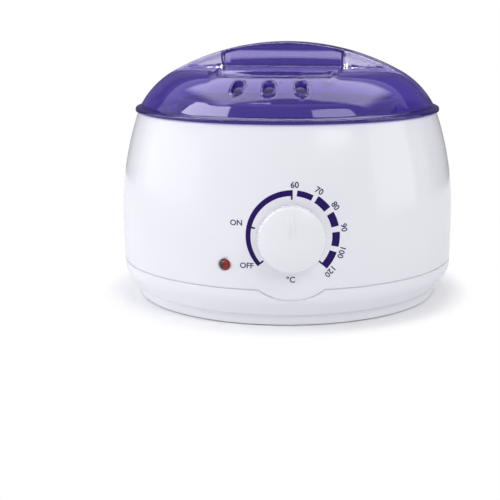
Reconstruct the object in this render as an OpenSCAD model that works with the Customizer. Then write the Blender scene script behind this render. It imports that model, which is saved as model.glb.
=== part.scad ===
// Wax warmer pot: a round electric warmer with a lift-out pot under a see-through lid.
// The origin is on the table, on the axis of the body. +Z is up and the dial faces -Y.

/* [Body] */
// Radius of the body where it is fullest
body_r = 92.8; // [88:0.1:112]
// Height of the fullest part of the body
belly_z = 45; // [38:1:52]
// How much narrower the rim is than the fullest part
rim_inset = 9.8; // [6:0.1:12]
// Height of the rim that the lid sits on
rim_z = 102; // [98:1:124]
// Width of the flat top of the rim
rim_w = 4; // [3:0.5:5]
// Depth from the rim down to the shelf around the pot
recess_depth = 7; // [6:0.5:9]
// Wall of the housing and of the base
wall = 2.5; // [2:0.1:3]

/* [Seam and base] */
// Height of the seam between housing and base
seam_z = 20.7; // [19:0.1:22]
// Gap that shows at the seam
seam_gap = 0.5; // [0.3:0.1:0.8]
// How much narrower the body is at the seam than where it is fullest
seam_inset = 0.3; // [0.2:0.1:1]
// Half width of the dip of the seam under the dial
dip_half_w = 16.6; // [14:0.1:20]
// Depth of that dip
dip_depth = 5.4; // [4:0.1:6.5]
// Radius of the round edge of the base
base_round = 9; // [7:0.5:9]
// How much narrower the base is at its floor than at the seam
base_tuck = 6.5; // [5:0.5:8]
// Height of the underside of the base floor
floor_z = 6; // [5:0.5:7]
// Height of the foot ring above the table
ring_lift = 1.2; // [0.8:0.1:2]
// Step in from the base floor's edge to the foot ring
ring_step = 2; // [1:0.5:3]
// Diameter of a rubber foot
foot_d = 12; // [10:0.5:15]
// Number of cooling slots in the base floor
slot_count = 18; // [12:1:24]

/* [Lid] */
// Height of the lid above the rim
lid_rise = 37.6; // [34:0.1:46]
// Wall of the lid
lid_wall = 2; // [1.6:0.1:2.4]
// How far the lid's edge stands out past the rim
lid_overhang = 1.5; // [1:0.1:2]
// Thickness of the lid's edge
lid_edge_h = 2.3; // [2:0.1:3]
// Radius of the round shoulder of the dome
shoulder_r = 46; // [40:1:50]
// Angle from the axis at which the crown turns into the shoulder
crown_angle = 28.3; // [26:0.1:30]
// Depth of the skirt that centres the lid in the rim
skirt_depth = 3.5; // [2.5:0.5:5]
// Width of the grip across the lid
grip_w = 22; // [20:0.5:26]
// Width of the grip between the finger pockets
waist_w = 18; // [16:0.5:19]
// Height of the grip above the flats beside it
grip_rise = 13.4; // [11:0.1:15]
// Slope of the finger pockets' floor, down towards the edge of the lid
pocket_fall = 2.6; // [1.5:0.1:4]
// Half length of a finger pocket
pocket_half = 34; // [30:0.5:38]
// Width of a vent
vent_w = 5.5; // [4:0.5:7]
// Length of a vent up the slope
vent_len = 9.5; // [8:0.5:12]
// Number of vents in each group
vent_count = 3; // [1:1:5]
// Angle between two vents
vent_pitch = 13.3; // [10:0.1:16]
// How far the lid is turned on its rim
lid_turn = -9; // [-30:1:30]

/* [Pot] */
// Outer radius of the pot at its flange
pot_r = 60; // [50:0.5:61]
// Depth of the pot below its flange
pot_depth = 56; // [46:1:57]
// Height of the pot's lip above its flange
pot_lip = 12; // [11:0.5:13]
// Wall of the pot
pot_wall = 1; // [0.8:0.1:1.5]
// How much narrower the pot is at its floor
pot_taper = 1.5; // [0.5:0.5:3]
// Radius of the pot's floor corner
pot_corner = 8; // [5:1:10]
// Diameter of the bail's wire
bail_d = 3.2; // [2.5:0.1:4]

/* [Heating chamber] */
// Gap between the pot and the chamber
pot_gap = 1; // [0.6:0.1:1.5]
// Wall of the chamber
chamber_wall = 1.2; // [1:0.1:2]
// Height of the band heater
band_h = 28; // [20:1:30]
// Thickness of the band heater
band_t = 2.2; // [1.5:0.1:3]

/* [Control] */
// Diameter of the knob
knob_d = 33.6; // [28:0.1:38]
// Depth of the knob, front to back
knob_depth = 10.6; // [9:0.1:14]
// Number of ribs around the knob
rib_count = 48; // [24:4:60]
// Diameter of the thermostat's shaft
shaft_d = 6; // [4:0.1:7.2]
// Distance of the dial's centre below the rim
dial_drop = 54; // [50:0.5:56]
// Diameter of the indicator lamp
lamp_d = 5.8; // [5:0.1:7]
// Distance of the lamp below the dial's centre
lamp_drop = 15; // [10:0.5:16]
// Angle of the lamp round the body from the dial
lamp_angle = 21; // [18:0.5:26]

/* [Supply] */
// Diameter of the cord that the gland takes
cord_d = 7; // [6:0.1:8]

/* [Hidden] */

$fn = 96;
cut = 1;               // how far a cutting solid runs past what it cuts
fit = 0.05;            // radial clearance of a pin or shaft that turns, and of a screw in its hole
snug = 0.15;           // clearance of a piece that is clamped or riveted round another
slack = 0.3;           // clearance between mouldings, and between a piece and its seat when it lifts off
side_out = 4 * body_r; // length that reaches outside the body

// Outline of the body: two arcs that meet upright where the body is fullest, then the base
rim_r = body_r - rim_inset;
seam_r = body_r - seam_inset;
upper_arc_r = (pow(rim_z - belly_z, 2) + pow(rim_inset, 2)) / (2 * rim_inset);
lower_arc_r = (pow(belly_z - seam_z, 2) + pow(seam_inset, 2)) / (2 * seam_inset);
floor_r = seam_r - base_tuck;
round_c = [seam_r - base_round, seam_z - 2.7];
tuck = [floor_r - round_c[0], floor_z - round_c[1]];
tuck_angle = atan2(tuck[1], tuck[0]) + acos(base_round / norm(tuck));
ring_r = floor_r - ring_step;
floor_top = floor_z + wall;

// The dip of the seam is an arc of a circle
dip_r = (pow(dip_half_w, 2) + pow(dip_depth, 2)) / (2 * dip_depth);
dip_z = seam_z - dip_depth + dip_r;
lip_r = seam_r - wall - slack;
lip_w = 1.5;
lip_h = 4;

// Rim, shelf, chamber and pot, from the rim down
recess_r = rim_r - rim_w;
shelf_z = rim_z - recess_depth;
flange_t = 1.2;
chamber_r = pot_r + pot_gap;
chamber_out = chamber_r + chamber_wall;
opening_r = chamber_out + 0.8;
chamber_flange_r = opening_r + 8;
flange_z = shelf_z + flange_t + slack;
pot_flange_r = pot_r + 4;
pot_floor_z = flange_z - pot_depth;
chamber_floor_z = pot_floor_z - 1.5;
chamber_bottom_z = chamber_floor_z - chamber_wall;
lip_top_z = flange_z + pot_lip;
bead_r = 1.3;
bail_r = bail_d / 2;
pivot_z = flange_z + flange_t + slack + 4;
ear_t = 1.2;
ear_boss_r = 4;
ear_out = pot_r + 4.4;
bend_r = bail_d;        // of the wire's centre line at its two ends
bail_bow_r = ear_out + slack + bend_r;
rivet_r = 1.2;
rivet_side = ear_boss_r - 1 + 2 * rivet_r + 0.038;   // of a rivet from the bail's pin
rivet_turn = asin(rivet_side / pot_r);

// Lid
lid_z = rim_z + slack / 2;
lid_top_z = rim_z + lid_rise;
lid_edge_r = rim_r + lid_overhang;
dome_r = lid_edge_r - 2.5;
dome_h = lid_rise - lid_edge_h;
crown_a = 2 * (1 - cos(crown_angle));
crown_b = 2 * (shoulder_r - dome_h) * (1 - cos(crown_angle)) - 2 * dome_r * sin(crown_angle);
crown_c = pow(dome_r, 2) + pow(shoulder_r - dome_h, 2) - pow(shoulder_r, 2);
crown_v = (-crown_b - sqrt(pow(crown_b, 2) - 4 * crown_a * crown_c)) / (2 * crown_a);
crown_r = crown_v + shoulder_r;
crown_z = lid_top_z - crown_r;
shoulder_c = [crown_v * sin(crown_angle), crown_z + crown_v * cos(crown_angle)];
flat_z = lid_top_z - grip_rise;
vent_tilt = 39;
skirt_r = recess_r - 0.5;
skirt_w = 2;

// Dial, thermostat and lamp
knob_z = rim_z - dial_drop;
function side_r(z) = z > belly_z
    ? body_r - upper_arc_r + sqrt(pow(upper_arc_r, 2) - pow(z - belly_z, 2))
    : body_r - lower_arc_r + sqrt(pow(lower_arc_r, 2) - pow(z - belly_z, 2));
dial_y = -side_r(knob_z);
knob_back = dial_y - 0.8;
knob_front = knob_back - knob_depth;
shaft_r = shaft_d / 2;
shaft_front = knob_front + 2.6;
flat_cut = shaft_r - 0.8;
hub_r = shaft_r + 2.4;
knob_shell = 1.6;
plate_y = dial_y + wall + 8;
plate_t = 1.2;
plate_boss_x = 17;
plate_boss_r = 3.6;
bush_r = shaft_r + 1.6;
nut_af = 2 * bush_r + 4;
nut_t = 2.4;
thermo_r = 11;
thermo_t = 8;
thermo_back = plate_y + plate_t + thermo_t;
tab_x = 7;
tab_y = plate_y + plate_t + 4.5;
tab_z = knob_z - thermo_r - 7;
small_r = 1.5;         // radius of the small screws
small_head_r = 3;

lamp_r = lamp_d / 2;
lamp_z = knob_z - lamp_drop;
lamp_out = side_r(lamp_z);
lamp_in = lamp_out - 12;
pin_side = 0.95;       // of a lamp's pin from its axis
resistor_side = 3.4;
resistor_r = lamp_in - 11;

// Heater, fuse and what hangs on the chamber
band_in = chamber_out + snug;
band_out = band_in + band_t;
strap_in = band_out + snug;
band_top = shelf_z - wall - 8;
band_bottom = band_top - band_h;
strap_t = 0.6;
strap_h = 8;
strap_z = band_bottom + 13;
lug_w = 8;
lug_gap = 6;
stud_r = band_out + 4;
stud_turn = 15;
stud_z = band_bottom;
blanket_in = strap_in + strap_t + snug;
blanket_out = blanket_in + 6;
blanket_bottom = band_bottom + 9;
blanket_top = band_top - 2;
fuse_r = 2.6;
fuse_half = 7;
fuse_turn = -50;
fuse_at = chamber_out + fuse_r + 0.2;
fuse_z = knob_z - 1;

// Base fittings
screw_turns = [30, 150, 210, 330];
screw_at = floor_r - 9;
post_r = 4;
post_top = belly_z - 5;
foot_turns = [60, 120, 240, 300];
foot_at = floor_r - 15;
foot_r = foot_d / 2;
stem_r = 2.2;
barb_r = 3.2;
slot_in = 22;
slot_len = 20;
slot_w = 3;
block = [34, 16, 14];
block_y = 62;
way = 8;
way_z = floor_top + 2 + 5;

// Gland
gland_z = 34;
gland_bore = cord_d / 2 + 0.1;
gland_neck = gland_bore + 2;
gland_flange = gland_neck + 2;
gland_out = body_r;

lead_r = 1.1;
lamp_lead_r = 0.7;

// ---- shapes shared by several parts ----

module revolve() { rotate_extrude($fn = 180) children(); }

// A rectangle in the half plane that is turned about the axis
module strip(r_in, r_out, z_lo, z_hi) { translate([r_in, z_lo]) square([r_out - r_in, z_hi - z_lo]); }

module at_angle(turn, r, z = 0) { rotate([0, 0, turn]) translate([r, 0, z]) children(); }

// Everything inside the body's skin, d in from its surface
module skin_area(d) {
    intersection() {
        translate([body_r - upper_arc_r, belly_z]) circle(r = upper_arc_r - d, $fn = 720);
        strip(0, body_r, belly_z, rim_z);
    }
    intersection() {
        translate([body_r - lower_arc_r, belly_z]) circle(r = lower_arc_r - d, $fn = 3600);
        strip(0, body_r, seam_z, belly_z);
    }
    intersection() {
        union() {
            strip(0, seam_r - d, round_c[1], seam_z);
            translate(round_c) circle(r = base_round - d);
        }
        strip(0, body_r, floor_z, seam_z);
    }
    corner = round_c + (base_round - d) * [cos(tuck_angle), sin(tuck_angle)];
    run = (corner[1] - floor_z - d) / cos(tuck_angle);
    polygon([[0, floor_z + d], [corner[0] + run * sin(tuck_angle), floor_z + d], corner, round_c,
        [0, round_c[1]]]);
}

module skin_shell(d) {
    revolve() difference() {
        skin_area(0);
        difference() {
            skin_area(d);
            strip(0, body_r, shelf_z - d, rim_z + cut);
        }
    }
}

// The round of the seam's dip, seen from the front
module dip(r) { translate([0, 0, dip_z]) rotate([90, 0, 0]) cylinder(h = side_out, r = r); }

module cup_area(r_top, r_floor, z_lo, z_hi, corner) {
    translate([r_floor - corner, z_lo + corner]) circle(r = corner);
    strip(0, r_floor - corner, z_lo, z_lo + 2 * corner);
    polygon([[0, z_lo + corner], [r_floor, z_lo + corner], [r_top, z_hi], [0, z_hi]]);
}

// A screw whose head's underside is at z = 0 and whose shank points up
module screw(r, head_r, head_h, len) {
    cylinder(h = len, r = r);
    difference() {
        translate([0, 0, -head_h]) cylinder(h = head_h, r = head_r);
        for (turn = [0, 90]) rotate([0, 0, turn])
            translate([-head_r * 0.6, -0.4, -head_h - cut]) cube([head_r * 1.2, 0.8, cut + head_h * 0.6]);
    }
}

// Smooth curve through a few points, and a round lead along it
function curve_point(a, b, c, d, t) = 0.5 * (2 * b + (c - a) * t
    + (2 * a - 5 * b + 4 * c - d) * pow(t, 2) + (3 * b - a - 3 * c + d) * pow(t, 3));
function curve(p, n) = [for (i = [0 : len(p) - 2], k = [0 : n - 1])
    curve_point(p[max(i - 1, 0)], p[i], p[i + 1], p[min(i + 2, len(p) - 1)], k / n), p[len(p) - 1]];
function unit(v) = v / norm(v);
function across(n, t) = unit(n - (n * t) * t);
function sides(t, n, i = 0) = i == len(t) ? []
    : let (m = across(n, t[i])) concat([m], sides(t, m, i + 1));

module lead(points, r = lead_r) {
    p = curve(points, 5);
    last = len(p) - 1;
    end = len(points) - 1;
    t = [unit(points[1] - points[0]), for (i = [1 : last - 1]) unit(p[i + 1] - p[i - 1]),
        unit(points[end] - points[end - 1])];
    n = sides(t, [1, 0.2, 0.1]);
    k = 8;
    rings = [for (i = [0 : last], j = [0 : k - 1])
        p[i] + r * (cos(360 * j / k) * n[i] + sin(360 * j / k) * cross(t[i], n[i]))];
    walls = [for (i = [0 : last - 1], j = [0 : k - 1], half = [0, 1])
        let (a = i * k + j, b = i * k + (j + 1) % k)
        half == 0 ? [a, a + k, b] : [b, a + k, b + k]];
    ends = [[for (j = [0 : k - 1]) j], [for (j = [k - 1 : -1 : 0]) last * k + j]];
    polyhedron(points = rings, faces = concat(walls, ends));
}

// ---- lid ----

module dome_area(d) {
    intersection() {
        union() {
            translate(shoulder_c) circle(r = shoulder_r - d, $fn = 360);
            intersection() {
                translate([0, crown_z]) circle(r = crown_r - d, $fn = 720);
                polygon([[0, crown_z], [0, lid_top_z + cut],
                    [(crown_r + cut) * sin(crown_angle), lid_top_z + cut],
                    [crown_r * sin(crown_angle), crown_z + crown_r * cos(crown_angle)]]);
            }
        }
        strip(0, dome_r + cut, lid_z, lid_top_z + cut);
    }
}

// Height of a finger pocket's floor at a distance y from the grip's middle, or d under it
function pocket_floor(y, d) = flat_z - (y - waist_w / 2) * tan(pocket_fall) - d / cos(pocket_fall);

// The flats and finger pockets beside the grip, grown by d for the inner surface
module grip_cuts(d) {
    for (side = [-1, 1]) scale([1, side, 1]) {
        translate([-lid_edge_r, grip_w / 2 - d, flat_z - d]) cube([2 * lid_edge_r, lid_edge_r, lid_rise]);
        translate([-pocket_half - d, 0, 0]) rotate([90, 0, 90]) linear_extrude(2 * (pocket_half + d))
            polygon([[waist_w / 2 - d, pocket_floor(waist_w / 2 - d, d)],
                [lid_edge_r, pocket_floor(lid_edge_r, d)],
                [lid_edge_r, lid_top_z + cut], [waist_w / 2 - d, lid_top_z + cut]]);
    }
}

module vents() {
    for (half = [-90, 90], i = [0 : vent_count - 1])
        rotate([0, 0, half + (i - (vent_count - 1) / 2) * vent_pitch])
            translate([shoulder_c[0], 0, shoulder_c[1]]) rotate([0, vent_tilt, 0])
                translate([0, 0, shoulder_r - 2 * lid_wall]) linear_extrude(3 * lid_wall) {
                    square([vent_len - vent_w, vent_w], center = true);
                    for (end = [-1, 1]) translate([end * (vent_len - vent_w) / 2, 0]) circle(d = vent_w);
                }
}

module lid() {
    color([0.36, 0.27, 0.68, 0.75]) rotate([0, 0, lid_turn]) {
        difference() {
            difference() {
                revolve() dome_area(0);
                grip_cuts(0);
            }
            difference() {
                revolve() dome_area(lid_wall);
                grip_cuts(lid_wall);
            }
            vents();
        }
        revolve() {
            strip(skirt_r - skirt_w, lid_edge_r, lid_z, rim_z + lid_edge_h);
            strip(skirt_r - skirt_w, skirt_r, rim_z - skirt_depth, rim_z + lid_edge_h);
        }
    }
}

// ---- pot and its bail ----

module pot() {
    color([0.8, 0.8, 0.82]) difference() {
        revolve() difference() {
            union() {
                cup_area(pot_r, pot_r - pot_taper, pot_floor_z, flange_z, pot_corner);
                strip(0, pot_flange_r, flange_z, flange_z + flange_t);
                strip(0, pot_r, flange_z, lip_top_z);
                translate([pot_r - pot_wall + bead_r, lip_top_z]) circle(r = bead_r);
            }
            cup_area(pot_r - pot_wall, pot_r - pot_taper - pot_wall, pot_floor_z + pot_wall, flange_z,
                pot_corner - pot_wall);
            strip(0, pot_r - pot_wall, flange_z - 0.1, lip_top_z + 2 * bead_r);
        }
        rivet_places() cylinder(h = 6 * rivet_r, r = rivet_r + fit, center = true);
    }
}

// Puts its children on the pot's wall with +Z pointing out
module rivet_places() {
    for (side = [0, 180], turn = [-rivet_turn, rivet_turn])
        at_angle(side + turn, pot_r, pivot_z) rotate([0, 90, 0]) children();
}

module pot_ears() {
    color("silver") for (side = [0, 180]) rotate([0, 0, side]) difference() {
        union() {
            intersection() {
                revolve() strip(pot_r + snug, pot_r + ear_t, pivot_z - ear_boss_r, pivot_z + ear_boss_r);
                translate([0, -8.5, 0]) cube([side_out, 17, lid_top_z]);
            }
            translate([pot_r, 0, pivot_z]) rotate([0, 90, 0]) cylinder(h = ear_out - pot_r, r = ear_boss_r - 1);
        }
        translate([0, 0, pivot_z]) rotate([0, 90, 0]) cylinder(h = side_out, r = bail_r + fit);
        cylinder(h = lid_top_z, r = pot_r + snug, $fn = 180);
        for (turn = [-rivet_turn, rivet_turn])
            at_angle(turn, pot_r, pivot_z) rotate([0, 90, 0])
                cylinder(h = 6 * rivet_r, r = rivet_r + fit, center = true);
    }
}

module pot_rivets() {
    color("gainsboro") rivet_places() {
        translate([0, 0, -pot_wall - 1]) cylinder(h = 1 + pot_wall + ear_t + 0.9, r = rivet_r);
        translate([0, 0, -pot_wall - 1]) cylinder(h = 0.9, r = 2 * rivet_r);
        translate([0, 0, ear_t + 0.1]) cylinder(h = 0.8, r = 2 * rivet_r);
    }
}

// A bent wire: its two ends turn inwards and pass through the ears
module bail() {
    color("silver") translate([0, 0, pivot_z]) {
        translate([0, bend_r, 0]) rotate_extrude(angle = 180, $fn = 180)
            translate([bail_bow_r, 0]) circle(r = bail_r, $fn = 32);
        for (side = [0, 1]) mirror([side, 0, 0]) {
            translate([bail_bow_r - bend_r, bend_r, 0]) rotate([0, 0, -90])
                rotate_extrude(angle = 90, $fn = 96) translate([bend_r, 0]) circle(r = bail_r, $fn = 32);
            translate([pot_r + ear_t + slack, 0, 0]) rotate([0, 90, 0])
                cylinder(h = bail_bow_r - bend_r - pot_r - ear_t - slack, r = bail_r, $fn = 32);
        }
    }
}

// ---- housing and base ----

module seat_screws() { for (turn = [45 : 90 : 315]) at_angle(turn, chamber_flange_r - 3.4) children(); }

module lamp_axis() {
    rotate([0, 0, -90 - lamp_angle]) translate([0, 0, lamp_z]) rotate([0, 90, 0]) children();
}

module plate_bosses() {
    for (side = [-1, 1]) translate([side * plate_boss_x, plate_y, knob_z]) rotate([90, 0, 0]) children();
}

module upper_housing() {
    reach = sqrt(pow(side_r(knob_z) - wall / 2, 2) - pow(plate_boss_x, 2)) + plate_y;
    color("white") difference() {
        union() {
            intersection() {
                skin_shell(wall);
                union() {
                    translate([-side_out, -side_out, seam_z + seam_gap / 2]) cube(2 * side_out);
                    dip(dip_r - seam_gap / 2);
                }
            }
            for (turn = screw_turns) rotate([0, 0, turn]) {
                translate([screw_at, 0, floor_top]) cylinder(h = post_top - floor_top, r = post_r);
                translate([screw_at, -1, seam_z + lip_h + 2])
                    cube([side_r(seam_z) - wall / 2 - screw_at, 2, post_top - seam_z - lip_h - 2]);
            }
            seat_screws() translate([0, 0, shelf_z - wall - 6]) cylinder(h = 7, r = small_head_r);
            plate_bosses() cylinder(h = reach, r = plate_boss_r);
        }
        cylinder(h = side_out, r = opening_r);
        translate([0, 0, shelf_z]) cylinder(h = side_out, r = recess_r, $fn = 180);
        seat_screws() cylinder(h = side_out, r = small_r + fit);
        for (turn = screw_turns) at_angle(turn, screw_at) cylinder(h = floor_top + 16, r = small_r + fit);
        plate_bosses() translate([0, 0, -cut]) cylinder(h = 6 + cut, r = small_r + fit);
        translate([0, plate_y, knob_z]) rotate([90, 0, 0]) cylinder(h = side_out, r = bush_r + slack);
        lamp_axis() cylinder(h = side_out, r = lamp_r + fit);
        translate([0, 0, gland_z]) rotate([-90, 0, 0]) cylinder(h = side_out, r = gland_neck + fit);
    }
}

module base_cover() {
    color("white") difference() {
        union() {
            difference() {
                intersection() {
                    union() {
                        skin_shell(wall);
                        revolve() strip(lip_r - lip_w, lip_r + slack + 0.2, round_c[1] - 6, seam_z);
                    }
                    translate([-side_out, -side_out, 0]) cube([2 * side_out, 2 * side_out, seam_z - seam_gap / 2]);
                }
                dip(dip_r + seam_gap / 2);
            }
            revolve() {
                strip(lip_r - lip_w, lip_r, round_c[1] - 6, seam_z + lip_h);
                strip(ring_r - wall, ring_r, ring_lift, floor_z + wall / 2);
            }
            for (side = [-1, 1]) translate([side * block[0] / 2 * 0.8, block_y, floor_top - cut])
                cylinder(h = 2 + cut, r = 3);
        }
        for (turn = screw_turns) at_angle(turn, screw_at) cylinder(h = side_out, r = small_r + slack);
        for (turn = foot_turns) at_angle(turn, foot_at) cylinder(h = side_out, r = stem_r + fit);
        for (i = [0 : slot_count - 1]) rotate([0, 0, (i + 0.5) * 360 / slot_count])
            translate([slot_in, -slot_w / 2, 0]) cube([slot_len, slot_w, floor_top + cut]);
        for (side = [-1, 1]) translate([side * block[0] / 2 * 0.8, block_y, floor_z + 1])
            cylinder(h = side_out, r = small_r + fit);
    }
}

module base_screws() {
    color("gainsboro") for (turn = screw_turns) at_angle(turn, screw_at, floor_z)
        screw(small_r, small_head_r, 2.2, 16);
}

module rubber_feet() {
    color([0.15, 0.15, 0.16]) for (turn = foot_turns) at_angle(turn, foot_at) {
        cylinder(h = floor_z, r = foot_r);
        cylinder(h = floor_top + 1.8, r = stem_r);
        translate([0, 0, floor_top]) cylinder(h = 1.8, r = barb_r);
    }
}

// ---- heating chamber ----

module heating_chamber() {
    color("lightgray") difference() {
        revolve() difference() {
            union() {
                cup_area(chamber_out, chamber_out, chamber_bottom_z, shelf_z, 7);
                strip(0, chamber_flange_r, shelf_z, shelf_z + flange_t);
            }
            cup_area(chamber_r, chamber_r, chamber_floor_z, shelf_z + flange_t, 7 - chamber_wall);
            strip(0, chamber_r, shelf_z - 0.1, shelf_z + 2 * flange_t);
        }
        seat_screws() cylinder(h = side_out, r = small_r + slack);
    }
}

module chamber_screws() {
    color("gainsboro") seat_screws() translate([0, 0, shelf_z + flange_t]) rotate([180, 0, 0])
        screw(small_r, small_head_r - 0.4, 1.6, 9);
}

module ring_band(r_in, r_out, z_lo, z_hi, gap) {
    difference() {
        revolve() strip(r_in, r_out, z_lo, z_hi);
        translate([-gap / 2, 0, z_lo - cut]) cube([gap, side_out, z_hi - z_lo + 2 * cut]);
    }
}

module studs() { for (turn = [-stud_turn, stud_turn]) at_angle(turn, stud_r, stud_z) children(); }

module heater_band() {
    color("tan") {
        ring_band(band_in, band_out, band_bottom, band_top, lug_gap);
        studs() difference() {
            translate([-stud_r + band_out - 1, -4, 0]) cube([stud_r - band_out + 5, 8, 7]);
            translate([-stud_r, 0, -cut]) cylinder(h = 9, r = band_in);
        }
    }
}

module heater_strap() {
    color("silver") {
        ring_band(strap_in, strap_in + strap_t, strap_z, strap_z + strap_h, lug_gap);
        for (side = [-1, 1]) difference() {
            translate([side * (lug_gap / 2 + 0.5) - 0.5, strap_in - 0.05, strap_z]) cube([1, lug_w, strap_h]);
            strap_axis() cylinder(h = 30, r = small_r + fit, center = true);
        }
    }
}

module strap_axis() { translate([0, band_out + 4.5, strap_z + strap_h / 2]) rotate([0, 90, 0]) children(); }

module strap_screw() {
    color("gainsboro") {
        strap_axis() translate([0, 0, -lug_gap / 2 - 1]) screw(small_r, 2.6, 1.8, lug_gap + 5);
        strap_axis() translate([0, 0, lug_gap / 2 + 1]) difference() {
            cylinder(h = 2, r = 3, $fn = 6);
            translate([0, 0, -cut]) cylinder(h = 4, r = small_r - 0.2);
        }
    }
}

module insulation_blanket() {
    color([0.93, 0.9, 0.8]) ring_band(blanket_in, blanket_out, blanket_bottom, blanket_top, lug_gap + 16);
}

// ---- thermostat and knob ----

module dial_axis(y) { translate([0, y, knob_z]) rotate([90, 0, 0]) children(); }

module thermostat_plate() {
    w = 2 * (plate_boss_x + plate_boss_r + 1);
    color("silver") difference() {
        translate([-w / 2, plate_y, knob_z - 9]) cube([w, plate_t, 18]);
        dial_axis(plate_y + plate_t + cut) cylinder(h = 4, r = bush_r + fit);
        plate_bosses() cylinder(h = 6, r = small_r + slack, center = true);
    }
}

module plate_screws() {
    color("gainsboro") plate_bosses() translate([0, 0, -plate_t]) screw(small_r, small_head_r - 0.4, 1.8, 6);
}

module thermostat_body() {
    color([0.9, 0.88, 0.82]) {
        difference() {
            dial_axis(thermo_back) cylinder(h = thermo_t, r = thermo_r);
            dial_axis(thermo_back - 3) cylinder(h = thermo_t, r = bush_r + fit);
        }
        for (side = [-1, 1]) translate([side * tab_x - 0.5, tab_y - 2.5, tab_z]) cube([1, 5, 8.5]);
    }
}

module thermostat_bush() {
    color([0.8, 0.68, 0.35]) difference() {
        dial_axis(thermo_back - 3) cylinder(h = thermo_t - 3 + plate_t + 6.5, r = bush_r);
        dial_axis(thermo_back - 3 + cut) cylinder(h = side_out, r = shaft_r + fit);
    }
}

module thermostat_nut() {
    color("silver") difference() {
        dial_axis(plate_y) cylinder(h = nut_t, d = nut_af, $fn = 6);
        dial_axis(plate_y + cut) cylinder(h = nut_t + 2 * cut, r = bush_r + fit);
    }
}

module sensing_post() {
    color([0.75, 0.5, 0.3]) difference() {
        union() {
            dial_axis(-chamber_out + 1) cylinder(h = -thermo_back - chamber_out + 1, r = 2);
            dial_axis(-chamber_out + 1) cylinder(h = 2.2, r = 4);
        }
        cylinder(h = side_out, r = chamber_out, $fn = 180);
    }
}

module thermostat_shaft() {
    color([0.8, 0.68, 0.35]) difference() {
        dial_axis(thermo_back - 3.5) cylinder(h = thermo_back - 3.5 - shaft_front, r = shaft_r);
        translate([-shaft_r, shaft_front - cut, knob_z + flat_cut])
            cube([2 * shaft_r, knob_back - shaft_front, 2 * shaft_r]);
    }
}

module control_knob() {
    color("white") difference() {
        union() {
            difference() {
                dial_axis(knob_back) rotate_extrude($fn = 144) {
                    strip(0, knob_d / 2, 0, knob_depth - 1.2);
                    strip(0, knob_d / 2 - 1.2, 0, knob_depth);
                    translate([knob_d / 2 - 1.2, knob_depth - 1.2]) circle(r = 1.2, $fn = 32);
                }
                dial_axis(knob_back) translate([0, 0, -cut])
                    cylinder(h = knob_depth - knob_shell + cut, r = knob_d / 2 - knob_shell - 0.6);
                for (i = [0 : rib_count - 1]) dial_axis(knob_back) rotate([0, 0, (i + 0.5) * 360 / rib_count])
                    translate([knob_d / 2 + 0.35, 0, -cut]) cylinder(h = knob_depth - 0.6, r = 0.75, $fn = 24);
            }
            dial_axis(knob_back - 1) cylinder(h = knob_depth - 1.5, r = hub_r);
            translate([-1, knob_front - 0.5, knob_z + 3]) cube([2, 1, knob_d / 2 - 5]);
        }
        difference() {
            dial_axis(knob_back + cut) cylinder(h = knob_depth - 2.6 + cut, r = shaft_r + fit);
            translate([-shaft_r, shaft_front - cut, knob_z + flat_cut + 0.45])
                cube([2 * shaft_r, knob_back - shaft_front, 2 * shaft_r]);
        }
    }
}

// The leaf spring that lies between the shaft's flat and the knob's hub
module knob_clip() {
    color("silver") translate([-1.5, shaft_front + 0.5, knob_z + flat_cut + 0.05])
        cube([3, knob_back - shaft_front - 2.5, 0.35]);
}

// ---- fuse, lamp, terminals and leads ----

module fuse_axis() { rotate([0, 0, fuse_turn]) translate([fuse_at, 0, fuse_z]) rotate([90, 0, 0]) children(); }

module thermal_fuse() { color([0.85, 0.85, 0.8]) fuse_axis() cylinder(h = 2 * fuse_half, r = fuse_r, center = true); }

module fuse_clip() {
    color("silver") difference() {
        fuse_axis() translate([-fuse_r - 1, -fuse_r - 0.6, -3]) cube([2 * fuse_r + 1.8, 2 * fuse_r + 1.2, 6]);
        fuse_axis() cylinder(h = 20, r = fuse_r, center = true);
        cylinder(h = side_out, r = chamber_out, $fn = 180);
    }
}

module lamp_lens() {
    color([0.7, 0.1, 0.12]) lamp_axis() difference() {
        union() {
            translate([0, 0, lamp_in]) cylinder(h = lamp_out + 0.6 - lamp_in, r = lamp_r);
            translate([0, 0, lamp_out + 0.6 - lamp_r * 0.75]) intersection() {
                sphere(r = lamp_r * 1.25);
                cylinder(h = 2 * lamp_r, r = lamp_r);
            }
        }
        translate([0, 0, lamp_in - cut]) cylinder(h = 10 + cut, r = lamp_r - 0.7);
    }
}

module neon_lamp() {
    color([1, 0.8, 0.6, 0.6]) lamp_axis() translate([0, 0, lamp_in - 2]) {
        cylinder(h = 8, r = lamp_r - 0.9);
        translate([0, 0, 8]) sphere(r = lamp_r - 0.9);
    }
}

module lamp_ring() {
    color("silver") difference() {
        lamp_axis() translate([0, 0, lamp_out - wall - 1.6]) cylinder(h = 0.8, r = lamp_r + 3);
        lamp_axis() cylinder(h = side_out, r = lamp_r + fit);
    }
}

// A point beside the lamp's axis: r from the body's axis, to the side by across_by
function lamp_point(r, across_by) = [across_by * cos(lamp_angle) - r * sin(lamp_angle),
    -r * cos(lamp_angle) - across_by * sin(lamp_angle), lamp_z];

module lamp_resistor() {
    color([0.3, 0.45, 0.6]) lamp_axis() translate([0, resistor_side, resistor_r - 10]) cylinder(h = 10, r = 1.4);
}

module ways() { for (i = [-1, 0, 1]) translate([i * way, block_y, 0]) children(); }

module terminal_block() {
    color([0.92, 0.92, 0.88]) difference() {
        translate([-block[0] / 2, block_y - block[1] / 2, floor_top + 2]) cube(block);
        ways() translate([0, 0, way_z + 4]) cylinder(h = side_out, r = 2.2);
        for (side = [-1, 1]) translate([side * block[0] / 2 * 0.8, block_y, 0])
            cylinder(h = side_out, r = small_r + slack);
        for (side = [-1, 1]) translate([side * block[0] / 2 * 0.8, block_y, floor_top + block[2] - 2])
            cylinder(h = side_out, r = small_head_r);
    }
}

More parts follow.
